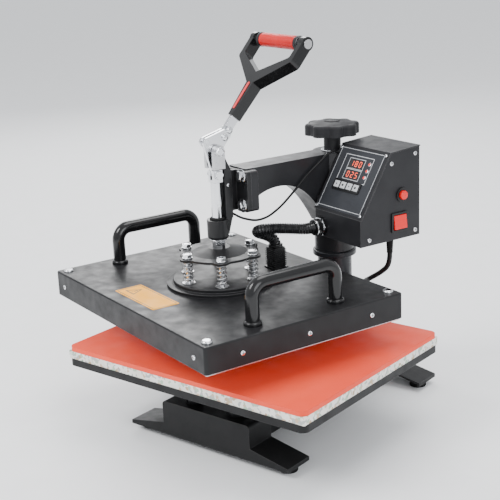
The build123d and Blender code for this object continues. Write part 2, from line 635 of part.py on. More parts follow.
def grip_barrel():
    """Soft sleeve between the collars."""
    with BuildPart() as piece:
        disc(across(LEVER, -GRIP_BARREL_HALF, GRIP_REACH, 0), GRIP_D, 2 * GRIP_BARREL_HALF)
        disc(across(LEVER, -GRIP_BARREL_HALF, GRIP_REACH, 0), GRIP_ROD, 2 * GRIP_BARREL_HALF, Mode.SUBTRACT)
    finish(piece, "grip_barrel")


# ==== link and spindle ===================================================
def link():
    """Flat link from the rod's clevis up to the crank pin."""
    middle = (CRANK_Y / 2, (CRANK_Z + ROD_PIN_Z) / 2)
    with BuildPart() as piece:
        with BuildSketch(side(ARM, -LINK_HALF)):
            with Locations(middle):
                SlotCenterToCenter(LINK_L, LINK_W, rotation=90 + LINK_LEAN)
            with Locations((0, ROD_PIN_Z)):
                Circle(PIN_D / 2 + RUN_FIT, mode=Mode.SUBTRACT)
            with Locations((CRANK_Y, CRANK_Z)):
                Circle(PIN_D / 2 + RUN_FIT, mode=Mode.SUBTRACT)
        extrude(amount=2 * LINK_HALF)
    finish(piece, "link")


STUD_D = 10.0
STUD_Z, STUD_TOP = 219.0, 240.0
NUT_TOP_Z, NUT_LOW_Z = PLATE_Z + PLATE_T + DOME_H, 221.5


def spindle():
    """Press rod: threaded stud below, guided rod, and the clevis on top."""
    bottom = (Align.CENTER, Align.CENTER, Align.MIN)
    with BuildPart(ARM) as piece:
        with Locations((0, 0, STUD_Z)):
            Cylinder(STUD_D / 2, STUD_TOP - STUD_Z, align=bottom)
        with Locations((0, 0, STUD_TOP)):
            Cylinder(ROD_D / 2, CLEVIS_BOTTOM - STUD_TOP, align=bottom)
        with Locations((0, 0, CLEVIS_BOTTOM)):
            Box(2 * CLEVIS_HALF, 2 * CLEVIS_HALF, CLEVIS_TOP - CLEVIS_BOTTOM, align=bottom)
        slot_floor = ROD_PIN_Z - LINK_W / 2 - 2
        with Locations((0, 0, slot_floor)):
            Box(2 * FORK_IN, 3 * CLEVIS_HALF, CLEVIS_TOP - slot_floor, align=bottom, mode=Mode.SUBTRACT)
        disc(
            shifted(side(ARM, -CLEVIS_HALF), 0, ROD_PIN_Z), PIN_D, 2 * CLEVIS_HALF, Mode.SUBTRACT
        )
    finish(piece, "spindle")


def link_pin():
    """Pin through clevis and link, with a hexagon head and nut."""
    with BuildPart(ARM) as piece:
        disc(shifted(side(ARM, -CLEVIS_HALF), 0, ROD_PIN_Z), PIN_D, 2 * CLEVIS_HALF)
        for hand in (-1, 1):
            with BuildSketch(shifted(side(ARM, hand * CLEVIS_HALF), 0, ROD_PIN_Z)) as head:
                RegularPolygon(5.0, 6, major_radius=False)
            extrude(head.sketch, amount=hand * 4.0)
    finish(piece, "link_pin")


def spindle_nuts():
    """Nuts above and below the spring plate on the rod's stud."""
    with BuildPart(ARM) as piece:
        for z, height, flats in ((NUT_TOP_Z, STUD_TOP - NUT_TOP_Z, 14.0), (NUT_LOW_Z, 7.5, 17.0)):
            with BuildSketch(level(ARM, z)):
                RegularPolygon(flats / 2, 6, major_radius=False)
                Circle(STUD_D / 2, mode=Mode.SUBTRACT)
            extrude(amount=height)
    finish(piece, "spindle_nuts")


def dome_profile(lower):
    """Outline of the spring plate's flat rim and raised middle, to revolve."""
    z0, z1 = PLATE_Z + lower, PLATE_Z + DOME_H + lower
    return [(0, z1), (14, z1), (DOME_R, z0), (PLATE_R + LOBE_R, z0)]


def spring_plate():
    """Wavy plate, domed in the middle, that the platen hangs from."""
    with BuildPart(ARM) as piece:
        with BuildSketch(level(ARM, PLATE_Z - 1)) as outline:
            Circle(PLATE_R)
            with PolarLocations(SPRING_R, SPRINGS, start_angle=30):
                Circle(LOBE_R)
            fillet(outline.vertices(), 8)
        extrude(amount=DOME_H + PLATE_T + 2)
        with BuildSketch(side(ARM, 0)):
            Polygon(*dome_profile(0), *reversed(dome_profile(PLATE_T)), align=None)
        revolve(axis=HEAD_AXIS, mode=Mode.INTERSECT)
        with Locations((0, 0, PLATE_Z)):
            Cylinder(STUD_D / 2, 3 * DOME_H, mode=Mode.SUBTRACT)
            with PolarLocations(SPRING_R, SPRINGS, start_angle=30):
                Cylinder(BOLT_D / 2 + SEAT, 3 * PLATE_T, mode=Mode.SUBTRACT)
    finish(piece, "spring_plate")


# ==== platen =============================================================
DISC_TOP = PLATEN_TOP + DISC_T + UPPER_DISC_T
HEATER_TOP = PLATEN_Z + HEATER_T
CORNER_D = 5.0
TERMINAL = (-10.0, 9.0, 80.0, 99.0)
TERMINAL_WALL = 1.75


def corner_places():
    """Centres of the four corner screws."""
    return [
        (sx * (PLATEN_W / 2 - CORNER_INSET_X), sy * (PLATEN_D / 2 - CORNER_INSET_Y))
        for sx in (-1, 1) for sy in (-1, 1)
    ]


def heating_plate():
    """Cast aluminium plate that presses on the work."""
    inset = COVER_T + SEAT
    with BuildPart(ARM) as piece:
        with BuildSketch(level(ARM, PLATEN_Z)):
            RectangleRounded(PLATEN_W - 2 * inset, PLATEN_D - 2 * inset, 3)
        extrude(amount=HEATER_T)
        chamfer(piece.edges().group_by(Axis.Z)[0], 0.8)
        with BuildSketch(level(ARM, HEATER_TOP)):
            with Locations(*corner_places()):
                Circle(CORNER_D / 2)
        extrude(amount=-10, mode=Mode.SUBTRACT)
    finish(piece, "heating_plate")


def insulation_blanket():
    """Insulation between the heating plate and the cover."""
    inset = COVER_T + 3.0
    with BuildPart(ARM) as piece:
        with BuildSketch(level(ARM, HEATER_TOP)):
            Rectangle(PLATEN_W - 2 * inset, PLATEN_D - 2 * inset)
            with Locations(*corner_places()):
                Circle(CORNER_D / 2 + 1, mode=Mode.SUBTRACT)
        extrude(amount=PLATEN_TOP - COVER_T - HEATER_TOP)
    finish(piece, "insulation_blanket")


def platen_cover():
    """Sheet cover over the heating plate."""
    with BuildPart(ARM) as piece:
        with BuildSketch(level(ARM, PLATEN_Z + COVER_LIFT)):
            RectangleRounded(PLATEN_W, PLATEN_D, 4)
        extrude(amount=PLATEN_H - COVER_LIFT)
        fillet(piece.faces().sort_by(Axis.Z)[-1].edges(), 2)
        with BuildSketch(level(ARM, PLATEN_Z + COVER_LIFT)):
            RectangleRounded(PLATEN_W - 2 * COVER_T, PLATEN_D - 2 * COVER_T, 4 - COVER_T)
        extrude(amount=PLATEN_H - COVER_LIFT - COVER_T, mode=Mode.SUBTRACT)
        with BuildSketch(level(ARM, PLATEN_TOP)):
            with Locations(*corner_places()):
                Circle(CORNER_D / 2)
        extrude(amount=-2 * COVER_T, mode=Mode.SUBTRACT)
    finish(piece, "platen_cover")


def corner_screws():
    """Domed screws that hold the cover to the heating plate."""
    head_r, head_h = 6.5, 3.2
    with BuildPart(ARM) as piece:
        for x, y in corner_places():
            seat = shifted(level(ARM, PLATEN_TOP), x, y)
            disc(seat, CORNER_D, HEATER_TOP - 10 - PLATEN_TOP)
            disc(seat, 2 * head_r, head_h)
        tops = piece.edges().filter_by(GeomType.CIRCLE).group_by(Axis.Z)[-1]
        fillet(tops, 2.4)
    finish(piece, "corner_screws")


def pressure_discs():
    """Two stacked discs that spread the press force, drilled for the spring bolts."""
    with BuildPart(ARM) as piece:
        for z, radius, thickness in (
            (PLATEN_TOP, DISC_R, DISC_T), (PLATEN_TOP + DISC_T, UPPER_DISC_R, UPPER_DISC_T)
        ):
            with BuildSketch(level(ARM, z)):
                Circle(radius)
                with PolarLocations(SPRING_R, SPRINGS, start_angle=30):
                    Circle(BOLT_D / 2, mode=Mode.SUBTRACT)
            extrude(amount=thickness)
        chamfer(piece.edges().filter_by(GeomType.CIRCLE).group_by(Axis.Z)[-1].sort_by(SortBy.RADIUS)[-1], 0.8)
    finish(piece, "pressure_discs")


def spring_bolts():
    """Bolts fixed in the discs; the spring plate hangs under their heads."""
    seat_z = PLATE_Z + PLATE_T + SEAT
    with BuildPart(ARM) as piece:
        with BuildSketch(level(ARM, PLATEN_TOP)):
            with PolarLocations(SPRING_R, SPRINGS, start_angle=30):
                Circle(BOLT_D / 2)
        extrude(amount=seat_z - PLATEN_TOP)
        with BuildSketch(level(ARM, seat_z)):
            with PolarLocations(SPRING_R, SPRINGS, start_angle=30):
                Circle(6.4)
        extrude(amount=1.2)
        with BuildSketch(level(ARM, seat_z + 1.2)):
            with PolarLocations(SPRING_R, SPRINGS, start_angle=30):
                RegularPolygon(5.5, 6, major_radius=False)
        extrude(amount=4.2)
    finish(piece, "spring_bolts")


def springs():
    """Compression springs round the bolts, between the discs and the plate."""
    coil_r = (SPRING_OD - SPRING_WIRE) / 2
    wire_r = SPRING_WIRE / 2
    height = PLATE_Z - DISC_TOP - 2 * SEAT - SPRING_WIRE
    start_z = DISC_TOP + SEAT + wire_r
    with BuildPart() as piece:
        for place in PolarLocations(SPRING_R, SPRINGS, start_angle=30).local_locations:
            centre = ARM.from_local_coords((place.position.X, place.position.Y, start_z))
            with BuildLine(Plane(origin=centre, z_dir=(0, 0, 1))):
                turns = Helix(pitch=height / SPRING_TURNS, height=height, radius=coil_r)
            with BuildSketch(Plane(origin=turns @ 0, z_dir=turns % 0)):
                Circle(wire_r)
            sweep()
    finish(piece, "springs")


def side_handles():
    """Tubular loop on each side of the platen, square to its edge."""
    rise = HANDLE_H - HANDLE_D / 2
    with BuildPart(ARM) as piece:
        for hand in (-1, 1):
            x = hand * HANDLE_X
            route = [
                (x, -HANDLE_LEG, PLATEN_TOP), (x, -HANDLE_LEG, PLATEN_TOP + rise),
                (x, HANDLE_LEG, PLATEN_TOP + rise), (x, HANDLE_LEG, PLATEN_TOP),
            ]
            with BuildLine(ARM):
                bow = FilletPolyline(*route, radius=HANDLE_BEND)
            with BuildSketch(Plane(origin=bow @ 0, z_dir=(0, 0, 1))):
                Circle(HANDLE_D / 2)
            sweep()
            for y in (-HANDLE_LEG, HANDLE_LEG):
                disc(shifted(level(ARM, PLATEN_TOP), x, y), HANDLE_D + 5, 2.5)
    finish(piece, "side_handles")


def terminal_box():
    """Upright box on the platen where the flexible conduit plugs in."""
    x0, x1, y0, y1 = TERMINAL
    mid, size = ((x0 + x1) / 2, (y0 + y1) / 2), (x1 - x0, y1 - y0)
    with BuildPart(ARM) as piece:
        with BuildSketch(level(ARM, PLATEN_TOP)):
            with Locations(mid):
                Rectangle(size[0] + 4, size[1] + 4)
        extrude(amount=2.0)
        with BuildSketch(level(ARM, PLATEN_TOP)):
            with Locations(mid):
                RectangleRounded(size[0], size[1], 2)
        extrude(amount=TERMINAL_Z - SEAT - PLATEN_TOP)
        with BuildSketch(level(ARM, TERMINAL_Z - SEAT)):
            with Locations(mid):
                RectangleRounded(size[0] - 2 * TERMINAL_WALL, size[1] - 2 * TERMINAL_WALL, 1.5)
        extrude(amount=-20, mode=Mode.SUBTRACT)
    finish(piece, "terminal_box")


def warning_label():
    """Sticker on the platen's cover, near its front edge."""
    with BuildPart(ARM) as piece:
        with BuildSketch(level(ARM, PLATEN_TOP)):
            with Locations((-8, -106)):
                RectangleRounded(98, 38, 2)
        extrude(amount=0.3)
    finish(piece, "warning_label")


# ==== control box ========================================================
PANEL_W = 98.0
OVERLAY_T = 0.4
BUTTON_PLACES = [(BUTTON_U + i * BUTTON_PITCH, BUTTON_V) for i in range(BUTTONS)]
BEZEL_T, BUTTON_PROUD = 1.5, 2.5
LID_LINE = [(BOX_Y0, PANEL_FOOT_Z), (PANEL_HEAD_Y, PANEL_HEAD_Z), (BOX_Y1, BOX_TOP)]


def relief_plane():
    """Plane across the top end of the mains cord, facing up into the box."""
    end, after = Vector(CORD_ROUTE[0]), Vector(CORD_ROUTE[1])
    return Plane(origin=end, z_dir=end - after)


def panel_holes(mode):
    """Openings in the lid and the overlay: buttons, displays and lamps."""
    with Locations(*BUTTON_PLACES):
        Rectangle(BUTTON_W + 2 * BUTTON_FIT, BUTTON_H + 2 * BUTTON_FIT, mode=mode)
    with Locations(*[(DISPLAY_U, v) for v in DISPLAY_V]):
        Rectangle(DISPLAY_W, DISPLAY_H, mode=mode)
    with Locations(*[(LAMP_U, v) for v in LAMP_V]):
        Circle(LAMP_D / 2, mode=mode)


def control_box():
    """Folded sheet case, open under the lid."""
    wall = BOX_SHEET
    with BuildPart(ARM) as piece:
        with BuildSketch(side(ARM, BOX_X0)):
            Polygon(*LID_LINE, (BOX_Y1, BOX_Z), (BOX_Y0, BOX_Z), align=None)
        extrude(amount=BOX_X1 - BOX_X0)
        with BuildSketch(side(ARM, BOX_X0)):
            with BuildLine():
                Polyline(*LID_LINE)
                offset(amount=wall, side=Side.RIGHT, closed=True)
            make_face()
        extrude(amount=BOX_X1 - BOX_X0, mode=Mode.SUBTRACT)
        with BuildSketch(side(ARM, BOX_X0 + wall)):
            with Locations((BOX_Y0 + wall, BOX_Z + wall)):
                Rectangle(BOX_Y1 - BOX_Y0 - 2 * wall, BOX_TOP - BOX_Z, align=(Align.MIN, Align.MIN))
        extrude(amount=BOX_X1 - BOX_X0 - 2 * wall, mode=Mode.SUBTRACT)
        right = side(ARM, BOX_X1)
        with BuildSketch(right) as holes:
            with Locations((ROCKER_Y, ROCKER_Z)):
                Rectangle(ROCKER_W + 2 * SEAT, ROCKER_H + 2 * SEAT)
            with Locations((RESET_Y, RESET_Z)):
                Circle(RESET_D / 2 + SEAT)
        extrude(holes.sketch, amount=-2 * wall, mode=Mode.SUBTRACT)
        gland = shifted(front(ARM, BOX_Y0), GLAND_X, GLAND_Z)
        disc(gland, CONDUIT_D - 3, -2 * wall, Mode.SUBTRACT)
        disc(relief_plane(), RELIEF_D, RELIEF_L + 5, Mode.SUBTRACT)
    finish(piece, "control_box")


def box_cover():
    """Lid: slanted panel and top in one folded sheet."""
    with BuildPart() as piece:
        with BuildSketch(side(ARM, LID_X0)):
            with BuildLine():
                Polyline(*LID_LINE)
                offset(amount=BOX_SHEET, side=Side.RIGHT, closed=True)
            make_face()
        extrude(amount=LID_X1 - LID_X0)
        with BuildSketch(PANEL) as holes:
            panel_holes(Mode.ADD)
        extrude(holes.sketch, amount=-2 * BOX_SHEET, mode=Mode.SUBTRACT)
    finish(piece, "box_cover")


def panel_overlay():
    """Printed sheet on the slanted panel."""
    with BuildPart() as piece:
        with BuildSketch(PANEL):
            RectangleRounded(PANEL_W - 10, PANEL_L - 8, 2)
            panel_holes(Mode.SUBTRACT)
        extrude(amount=OVERLAY_T)
    finish(piece, "panel_overlay")


def displays():
    """Two numeric display modules seated in the panel's cut-outs."""
    with BuildPart() as piece:
        with BuildSketch(PANEL.offset(-5)):
            with Locations(*[(DISPLAY_U, v) for v in DISPLAY_V]):
                Rectangle(DISPLAY_W, DISPLAY_H)
        extrude(amount=5 + OVERLAY_T)
    finish(piece, "displays")


def indicator_lamps():
    """Three small lamps beside the displays."""
    proud = 1.2
    with BuildPart() as piece:
        with BuildSketch(PANEL.offset(-4)):
            with Locations(*[(LAMP_U, v) for v in LAMP_V]):
                Circle(LAMP_D / 2)
        extrude(amount=4 + OVERLAY_T + proud)
    finish(piece, "indicator_lamps")


def button_bezel():
    """Raised frame round the four panel buttons."""
    margin = 3.0
    width = (BUTTONS - 1) * BUTTON_PITCH + BUTTON_W + 2 * margin
    middle = BUTTON_U + (BUTTONS - 1) * BUTTON_PITCH / 2
    with BuildPart() as piece:
        with BuildSketch(PANEL.offset(OVERLAY_T)):
            with Locations((middle, BUTTON_V)):
                RectangleRounded(width, BUTTON_H + 2 * margin, 2)
            with Locations(*BUTTON_PLACES):
                Rectangle(BUTTON_W + 2 * BUTTON_FIT, BUTTON_H + 2 * BUTTON_FIT, mode=Mode.SUBTRACT)
        extrude(amount=BEZEL_T)
    finish(piece, "button_bezel")


def panel_buttons():
    """Square push buttons, one part each, with a flange behind the lid."""
    back = BOX_SHEET + SEAT
    for number, (u, v) in enumerate(BUTTON_PLACES, start=1):
        with BuildPart() as piece:
            with BuildSketch(shifted(PANEL, u, v, -back)):
                Rectangle(BUTTON_W, BUTTON_H)
            extrude(amount=back + OVERLAY_T + BUTTON_PROUD)
            fillet(piece.edges().sort_by(Axis(PANEL.origin, PANEL.z_dir))[-4:], 1.0)
            with BuildSketch(shifted(PANEL, u, v, -back)):
                Rectangle(BUTTON_W + 1.6, BUTTON_H + 1.6)
            extrude(amount=-1.2)
        finish(piece, f"panel_button_{number}")


def switch_bezels():
    """Frame of the power rocker and ring of the reset button."""
    face = side(ARM, BOX_X1)
    with BuildPart() as piece:
        with BuildSketch(face) as frames:
            with Locations((ROCKER_Y, ROCKER_Z)):
                RectangleRounded(ROCKER_W + 7, ROCKER_H + 6, 2)
                Rectangle(ROCKER_W + 2 * SEAT, ROCKER_H + 2 * SEAT, mode=Mode.SUBTRACT)
            with Locations((RESET_Y, RESET_Z)):
                Circle(RESET_RING / 2)
                Circle(RESET_D / 2 + SEAT, mode=Mode.SUBTRACT)
        extrude(amount=2.0)
    finish(piece, "switch_bezels")


def power_rocker():
    """Rocker that tips about its middle; at rest its upper half is pressed in."""
    face = side(ARM, BOX_X1)
    hub = shifted(face, ROCKER_Y, ROCKER_Z)
    tip = radians(ROCKER_TILT)
    tipped = Plane(origin=hub.origin, x_dir=hub.x_dir, z_dir=hub.z_dir * cos(tip) + hub.y_dir * sin(tip))
    with BuildPart() as piece:
        with BuildSketch(tipped.offset(-7)):
            Rectangle(ROCKER_W, ROCKER_H - 1.5)
        extrude(amount=10.5)
        fillet(piece.edges().sort_by(Axis(hub.origin, tipped.z_dir))[-4:], 0.8)
        pin_reach = ROCKER_W / 2 + SEAT / 2
        disc(Plane(origin=hub.origin - pin_reach * ARM.y_dir, z_dir=ARM.y_dir), 3.0, 2 * pin_reach)
    finish(piece, "power_rocker")


def reset_button():
    """Round push button above the rocker."""
    face = side(ARM, BOX_X1)
    with BuildPart() as piece:
        with BuildSketch(shifted(face, RESET_Y, RESET_Z, -6)):
            Circle(RESET_D / 2)
        extrude(amount=12)
        fillet(piece.edges().sort_by(Axis(face.origin, face.z_dir))[-1:], 2)
    finish(piece, "reset_button")


# ==== wiring =============================================================
def conduit_gland():
    """Gland on the box's front where the conduit starts."""
    face = shifted(front(ARM, BOX_Y0), GLAND_X, GLAND_Z)
    with BuildPart() as piece:
        disc(face, GLAND_D + 4, 3)
        disc(face, GLAND_D, GLAND_L)
        chamfer(piece.edges().filter_by(GeomType.CIRCLE).sort_by(Axis(face.origin, face.z_dir))[-1], 1.5)
    finish(piece, "conduit_gland")


def conduit():
    """Corrugated conduit from the gland round to the top of the terminal box."""
    finish(tube(ARM, CONDUIT_ROUTE, CONDUIT_D, "conduit"), "conduit")


def counter_sensor():
    """Small sensor under the flange, behind the column."""
    with BuildPart(ARM) as piece:
        with BuildSketch(level(ARM, ARM_BLOCK_Z)):
            with Locations((-9, COLUMN_Y1 + 5)):
                RectangleRounded(10, 7.5, 1)
        extrude(amount=-12)
    finish(piece, "counter_sensor")


def sensor_lead():
    """Thin lead from the sensor along the arm to the box."""
    finish(tube(ARM, LEAD_ROUTE, LEAD_D, "sensor lead"), "sensor_lead")


def strain_relief():
    """Tapered boot where the mains cord leaves the box."""
    with BuildPart() as piece:
        with BuildSketch(relief_plane().offset(SEAT)):
            Circle(CORD_D / 2 + 0.6)
        with BuildSketch(relief_plane().offset(RELIEF_L)):
            Circle(RELIEF_D / 2)
        loft()
    finish(piece, "strain_relief")


def mains_cord():
    """Free run of the mains cord, from the boot down behind the press to the coil."""
    finish(tube(WORLD, CORD_ROUTE, CORD_D, "mains cord"), "mains_cord")


def cord_coil():
    """Outer shape of the coiled rest of the cord."""
    with BuildPart() as piece:
        with BuildSketch(Plane(origin=(COIL_X, COIL_Y, 0), x_dir=(1, 0, 0), z_dir=(0, -1, 0))):
            with Locations((COIL_R, SEAT + COIL_H / 2)):
                RectangleRounded(COIL_W, COIL_H, 3.4)
        revolve(axis=Axis((COIL_X, COIL_Y, 0), (0, 0, 1)))
    finish(piece, "cord_coil")


def mains_plug():
    """Moulded two-pin plug lying behind the coil."""
    boot, pin_l, pin_d, pin_gap = 20.0, 19.0, 4.8, 19.0
    start_x, y, z = COIL_X - 12.0, COIL_Y + COIL_R, SEAT + PLUG_T / 2
    face = Plane(origin=(start_x, y, z), x_dir=(0, 1, 0), z_dir=(-1, 0, 0))
    with BuildPart() as piece:
        with BuildSketch(face):
            Circle(CORD_D / 2 + 0.5)
        with BuildSketch(face.offset(boot)):
            RectangleRounded(PLUG_W - 4, PLUG_T - 3, 5)
        loft()
        with BuildSketch(face.offset(boot)):
            RectangleRounded(PLUG_W, PLUG_T, 5)
        extrude(amount=PLUG_L)
        with BuildSketch(face.offset(boot + PLUG_L)):
            with GridLocations(pin_gap, 1, 2, 1):
                Circle(pin_d / 2)
        extrude(amount=pin_l)
    finish(piece, "mains_plug")


# ==== build ==============================================================
base_frame()
rubber_feet()
post()
post_bolts()
stop_collar()
slab("bed_plate", BED_W, BED_D, BED_CORNER, BED_Z, BED_T)
bed_spacers()
slab("insulation_pad", BED_W - 1, BED_D - 1, FOAM_CORNER, BED_Z + BED_T, FOAM_T)
slab("silicone_pad", BED_W - 1, BED_D - 1, SILICONE_CORNER, PAD_TOP - SILICONE_T, SILICONE_T)
mains_cord()
cord_coil()
mains_plug()
thrust_washer()
pressure_screw()
pressure_knob()
arm()
head_bracket()
bracket_bolts()
yoke()
pivot_studs()
control_box()
box_cover()
panel_overlay()
displays()
indicator_lamps()
button_bezel()
switch_bezels()
conduit_gland()
conduit()
sensor_lead()
counter_sensor()
strain_relief()
panel_buttons()
reset_button()
power_rocker()
lever_bar()
lever_fork()
lever_rivets()
handle_frame()
handle_inlay()
grip_barrel()
grip_rod()
link()
spindle()
spindle_nuts()
spring_plate()
link_pin()
platen_cover()
heating_plate()
insulation_blanket()
pressure_discs()
spring_bolts()
springs()
corner_screws()
side_handles()
terminal_box()
warning_label()
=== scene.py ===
import json
import math

import bmesh
import bpy
from mathutils import Matrix, Vector


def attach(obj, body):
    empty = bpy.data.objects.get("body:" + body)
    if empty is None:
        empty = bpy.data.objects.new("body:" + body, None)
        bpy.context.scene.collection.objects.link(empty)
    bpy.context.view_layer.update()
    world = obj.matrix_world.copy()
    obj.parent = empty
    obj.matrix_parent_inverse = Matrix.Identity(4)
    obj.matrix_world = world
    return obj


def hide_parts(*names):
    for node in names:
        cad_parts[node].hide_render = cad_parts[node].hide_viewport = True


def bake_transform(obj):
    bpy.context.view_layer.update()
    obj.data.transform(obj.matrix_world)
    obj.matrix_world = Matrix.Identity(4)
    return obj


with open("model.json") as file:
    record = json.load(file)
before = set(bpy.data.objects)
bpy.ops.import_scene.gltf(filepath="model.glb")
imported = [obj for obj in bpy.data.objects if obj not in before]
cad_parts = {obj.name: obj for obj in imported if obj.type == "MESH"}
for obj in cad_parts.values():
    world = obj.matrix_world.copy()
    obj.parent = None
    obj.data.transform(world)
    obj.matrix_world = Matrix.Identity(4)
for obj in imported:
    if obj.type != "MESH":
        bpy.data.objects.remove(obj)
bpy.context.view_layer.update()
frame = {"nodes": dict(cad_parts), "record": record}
nodes = frame["nodes"]

# ---- frames: the arm frame of the CAD, in millimetres -------------------
SWING, POST_Y = math.radians(-17.2), 189.0
PANEL_O = (73.0, 161.0, 304.25)
PANEL_V, PANEL_N = (0, 0.52764, 0.84949), (0, -0.84949, 0.52764)
LEAN = math.radians(40.8)
LEVER_O = (0.0, 0.0, 358.0)
LEVER_V, LEVER_N = (0, math.sin(LEAN), math.cos(LEAN)), (0, -math.cos(LEAN), math.sin(LEAN))


def turned(x, y, z):
    c, s = math.cos(SWING), math.sin(SWING)
    return Vector((c * x - s * y, s * x + c * y, z))


def arm_point(x, y, z):
    p = turned(x, y - POST_Y, z)
    return Vector((p.x, p.y + POST_Y, p.z)) / 1000


def place(origin, x_dir, z_dir):
    """Matrix whose z runs along z_dir and x along x_dir, in metres, from arm-frame values."""
    x, z = turned(*x_dir).normalized(), turned(*z_dir).normalized()
    y = z.cross(x)
    matrix = Matrix((x, y, z)).transposed().to_4x4()
    matrix.translation = arm_point(*origin)
    return matrix


def on_plane(origin, v_dir, n_dir, u, v, w=0.0):
    o = [origin[i] + v * v_dir[i] + w * n_dir[i] for i in range(3)]
    return place((o[0] + u, o[1], o[2]), (1, 0, 0), n_dir)


def on_panel(u, v, w=0.4):
    return on_plane(PANEL_O, PANEL_V, PANEL_N, u, v, w)


def on_lever(u, v, w=0.0):
    return on_plane(LEVER_O, LEVER_V, LEVER_N, u, v, w)


def flat(x, y, z):
    return place((x, y, z), (1, 0, 0), (0, 0, 1))


def facing_right(x, y, z):
    return place((x, y, z), (0, 1, 0), (1, 0, 0))


def facing_front(x, y, z):
    return place((x, y, z), (1, 0, 0), (0, -1, 0))


# ---- materials ----------------------------------------------------------
class Nodes:
    """Small helper round a material's node tree."""

    def __init__(self, name):
        self.mat = bpy.data.materials.new(name)
        self.mat.use_nodes = True
        self.tree = self.mat.node_tree
        self.shader = self.tree.nodes["Principled BSDF"]
        coords = self.tree.nodes.new("ShaderNodeTexCoord")
        self.place = coords.outputs["Object"]

    def add(self, kind, **values):
        node = self.tree.nodes.new(kind)
        for key, value in values.items():
            if key in node.inputs:
                node.inputs[key].default_value = value
            else:
                setattr(node, key, value)
        return node

    def join(self, a, b):
        self.tree.links.new(a, b)

    def noise(self, scale, detail=4.0, stretch=None):
        node = self.add("ShaderNodeTexNoise", Scale=scale, Detail=detail)
        source = self.place
        if stretch:
            mapping = self.add("ShaderNodeMapping")
            mapping.inputs["Scale"].default_value = stretch
            self.join(source, mapping.inputs["Vector"])
            source = mapping.outputs["Vector"]
        self.join(source, node.inputs["Vector"])
        return node.outputs["Fac"]

    def span(self, value, low, high, start=0.3, end=0.7):
        node = self.add("ShaderNodeMapRange")
        self.join(value, node.inputs["Value"])
        for key, number in (("From Min", start), ("From Max", end), ("To Min", low), ("To Max", high)):
            node.inputs[key].default_value = number
        return node.outputs["Result"]

    def mix(self, factor, a, b):
        node = self.add("ShaderNodeMix", data_type="RGBA")
        self.join(factor, node.inputs[0])
        for socket, value in ((node.inputs[6], a), (node.inputs[7], b)):
            if isinstance(value, tuple):
                socket.default_value = (*value[:3], 1.0)
            else:
                self.join(value, socket)
        return node.outputs[2]

    def edge_mask(self, amount, width=0.0009):
        """1 at edges, from how far a rounded normal turns away from the true one."""
        rounded = self.add("ShaderNodeBevel", Radius=width, samples=4)
        true = self.add("ShaderNodeNewGeometry")
        dot = self.add("ShaderNodeVectorMath", operation="DOT_PRODUCT")
        self.join(rounded.outputs["Normal"], dot.inputs[0])
        self.join(true.outputs["Normal"], dot.inputs[1])
        return self.span(dot.outputs["Value"], amount, 0.0, 0.72, 0.985)

    def relief(self, height, distance, strength=0.5, rounded=0.0004):
        edge = self.add("ShaderNodeBevel", Radius=rounded, samples=4)
        bump = self.add("ShaderNodeBump", Strength=strength, Distance=distance)
        self.join(height, bump.inputs["Height"])
        self.join(edge.outputs["Normal"], bump.inputs["Normal"])
        self.join(bump.outputs["Normal"], self.shader.inputs["Normal"])


def finish_of(name, color, rough, metal=0.0, wear=0.0, grain=900.0, depth=0.00004, coat=0.0,
              stretch=None, mottle=0.12, rounded=0.0005, dust=0.012, specular=0.4):
    """A base colour with mottling, uneven gloss, worn edges, dust and a fine relief."""
    n = Nodes(name)
    tone = n.span(n.noise(22.0, 6.0), 0.0, 1.0)
    dark = tuple(c * (1 - mottle) for c in color)
    light = tuple(min(1.0, c * (1 + mottle) + 0.004) for c in color)
    shade = n.mix(tone, dark, light)
    if wear:
        shade = n.mix(n.edge_mask(wear), shade, tuple(min(1.0, c + 0.22) for c in color))
    if dust:
        normal = n.add("ShaderNodeNewGeometry")
        split = n.add("ShaderNodeSeparateXYZ")
        n.join(normal.outputs["Normal"], split.inputs[0])
        upward = n.span(split.outputs["Z"], 0.0, 1.0, 0.6, 1.0)
        patch = n.span(n.noise(9.0, 8.0), 0.0, dust, 0.45, 0.75)
        times = n.add("ShaderNodeMath", operation="MULTIPLY")
        n.join(upward, times.inputs[0])
        n.join(patch, times.inputs[1])
        shade = n.mix(times.outputs[0], shade, (0.62, 0.60, 0.57))
    n.join(shade, n.shader.inputs["Base Color"])
    gloss = n.noise(60.0, 5.0, stretch)
    n.join(n.span(gloss, rough * 0.8, min(1.0, rough * 1.25)), n.shader.inputs["Roughness"])
    n.shader.inputs["Metallic"].default_value = metal
    n.shader.inputs["Specular IOR Level"].default_value = specular
    n.shader.inputs["Coat Weight"].default_value = coat
    n.shader.inputs["Coat Roughness"].default_value = 0.12
    n.relief(n.noise(grain, 3.0, stretch), depth, 0.45, rounded)
    return n.mat


def foam_finish():
    """Cream foam bonded from crumbs, with grey, green and brown flecks."""
    n = Nodes("bonded_foam")
    crumbs = n.add("ShaderNodeTexVoronoi", Scale=260.0)
    n.join(n.place, crumbs.inputs["Vector"])
    split = n.add("ShaderNodeSeparateColor")
    n.join(crumbs.outputs["Color"], split.inputs[0])
    cream = n.mix(n.span(n.noise(70.0), 0, 1), (0.76, 0.73, 0.65), (0.88, 0.87, 0.82))
    shade = n.mix(n.span(split.outputs[0], 0, 0.75, 0.80, 0.84), cream, (0.30, 0.33, 0.34))
    shade = n.mix(n.span(split.outputs[1], 0, 0.7, 0.86, 0.9), shade, (0.25, 0.42, 0.28))
    shade = n.mix(n.span(split.outputs[2], 0, 0.7, 0.87, 0.9), shade, (0.48, 0.30, 0.16))
    n.join(shade, n.shader.inputs["Base Color"])
    n.shader.inputs["Roughness"].default_value = 0.9
    n.relief(crumbs.outputs["Distance"], 0.0006, 0.6)
    return n.mat


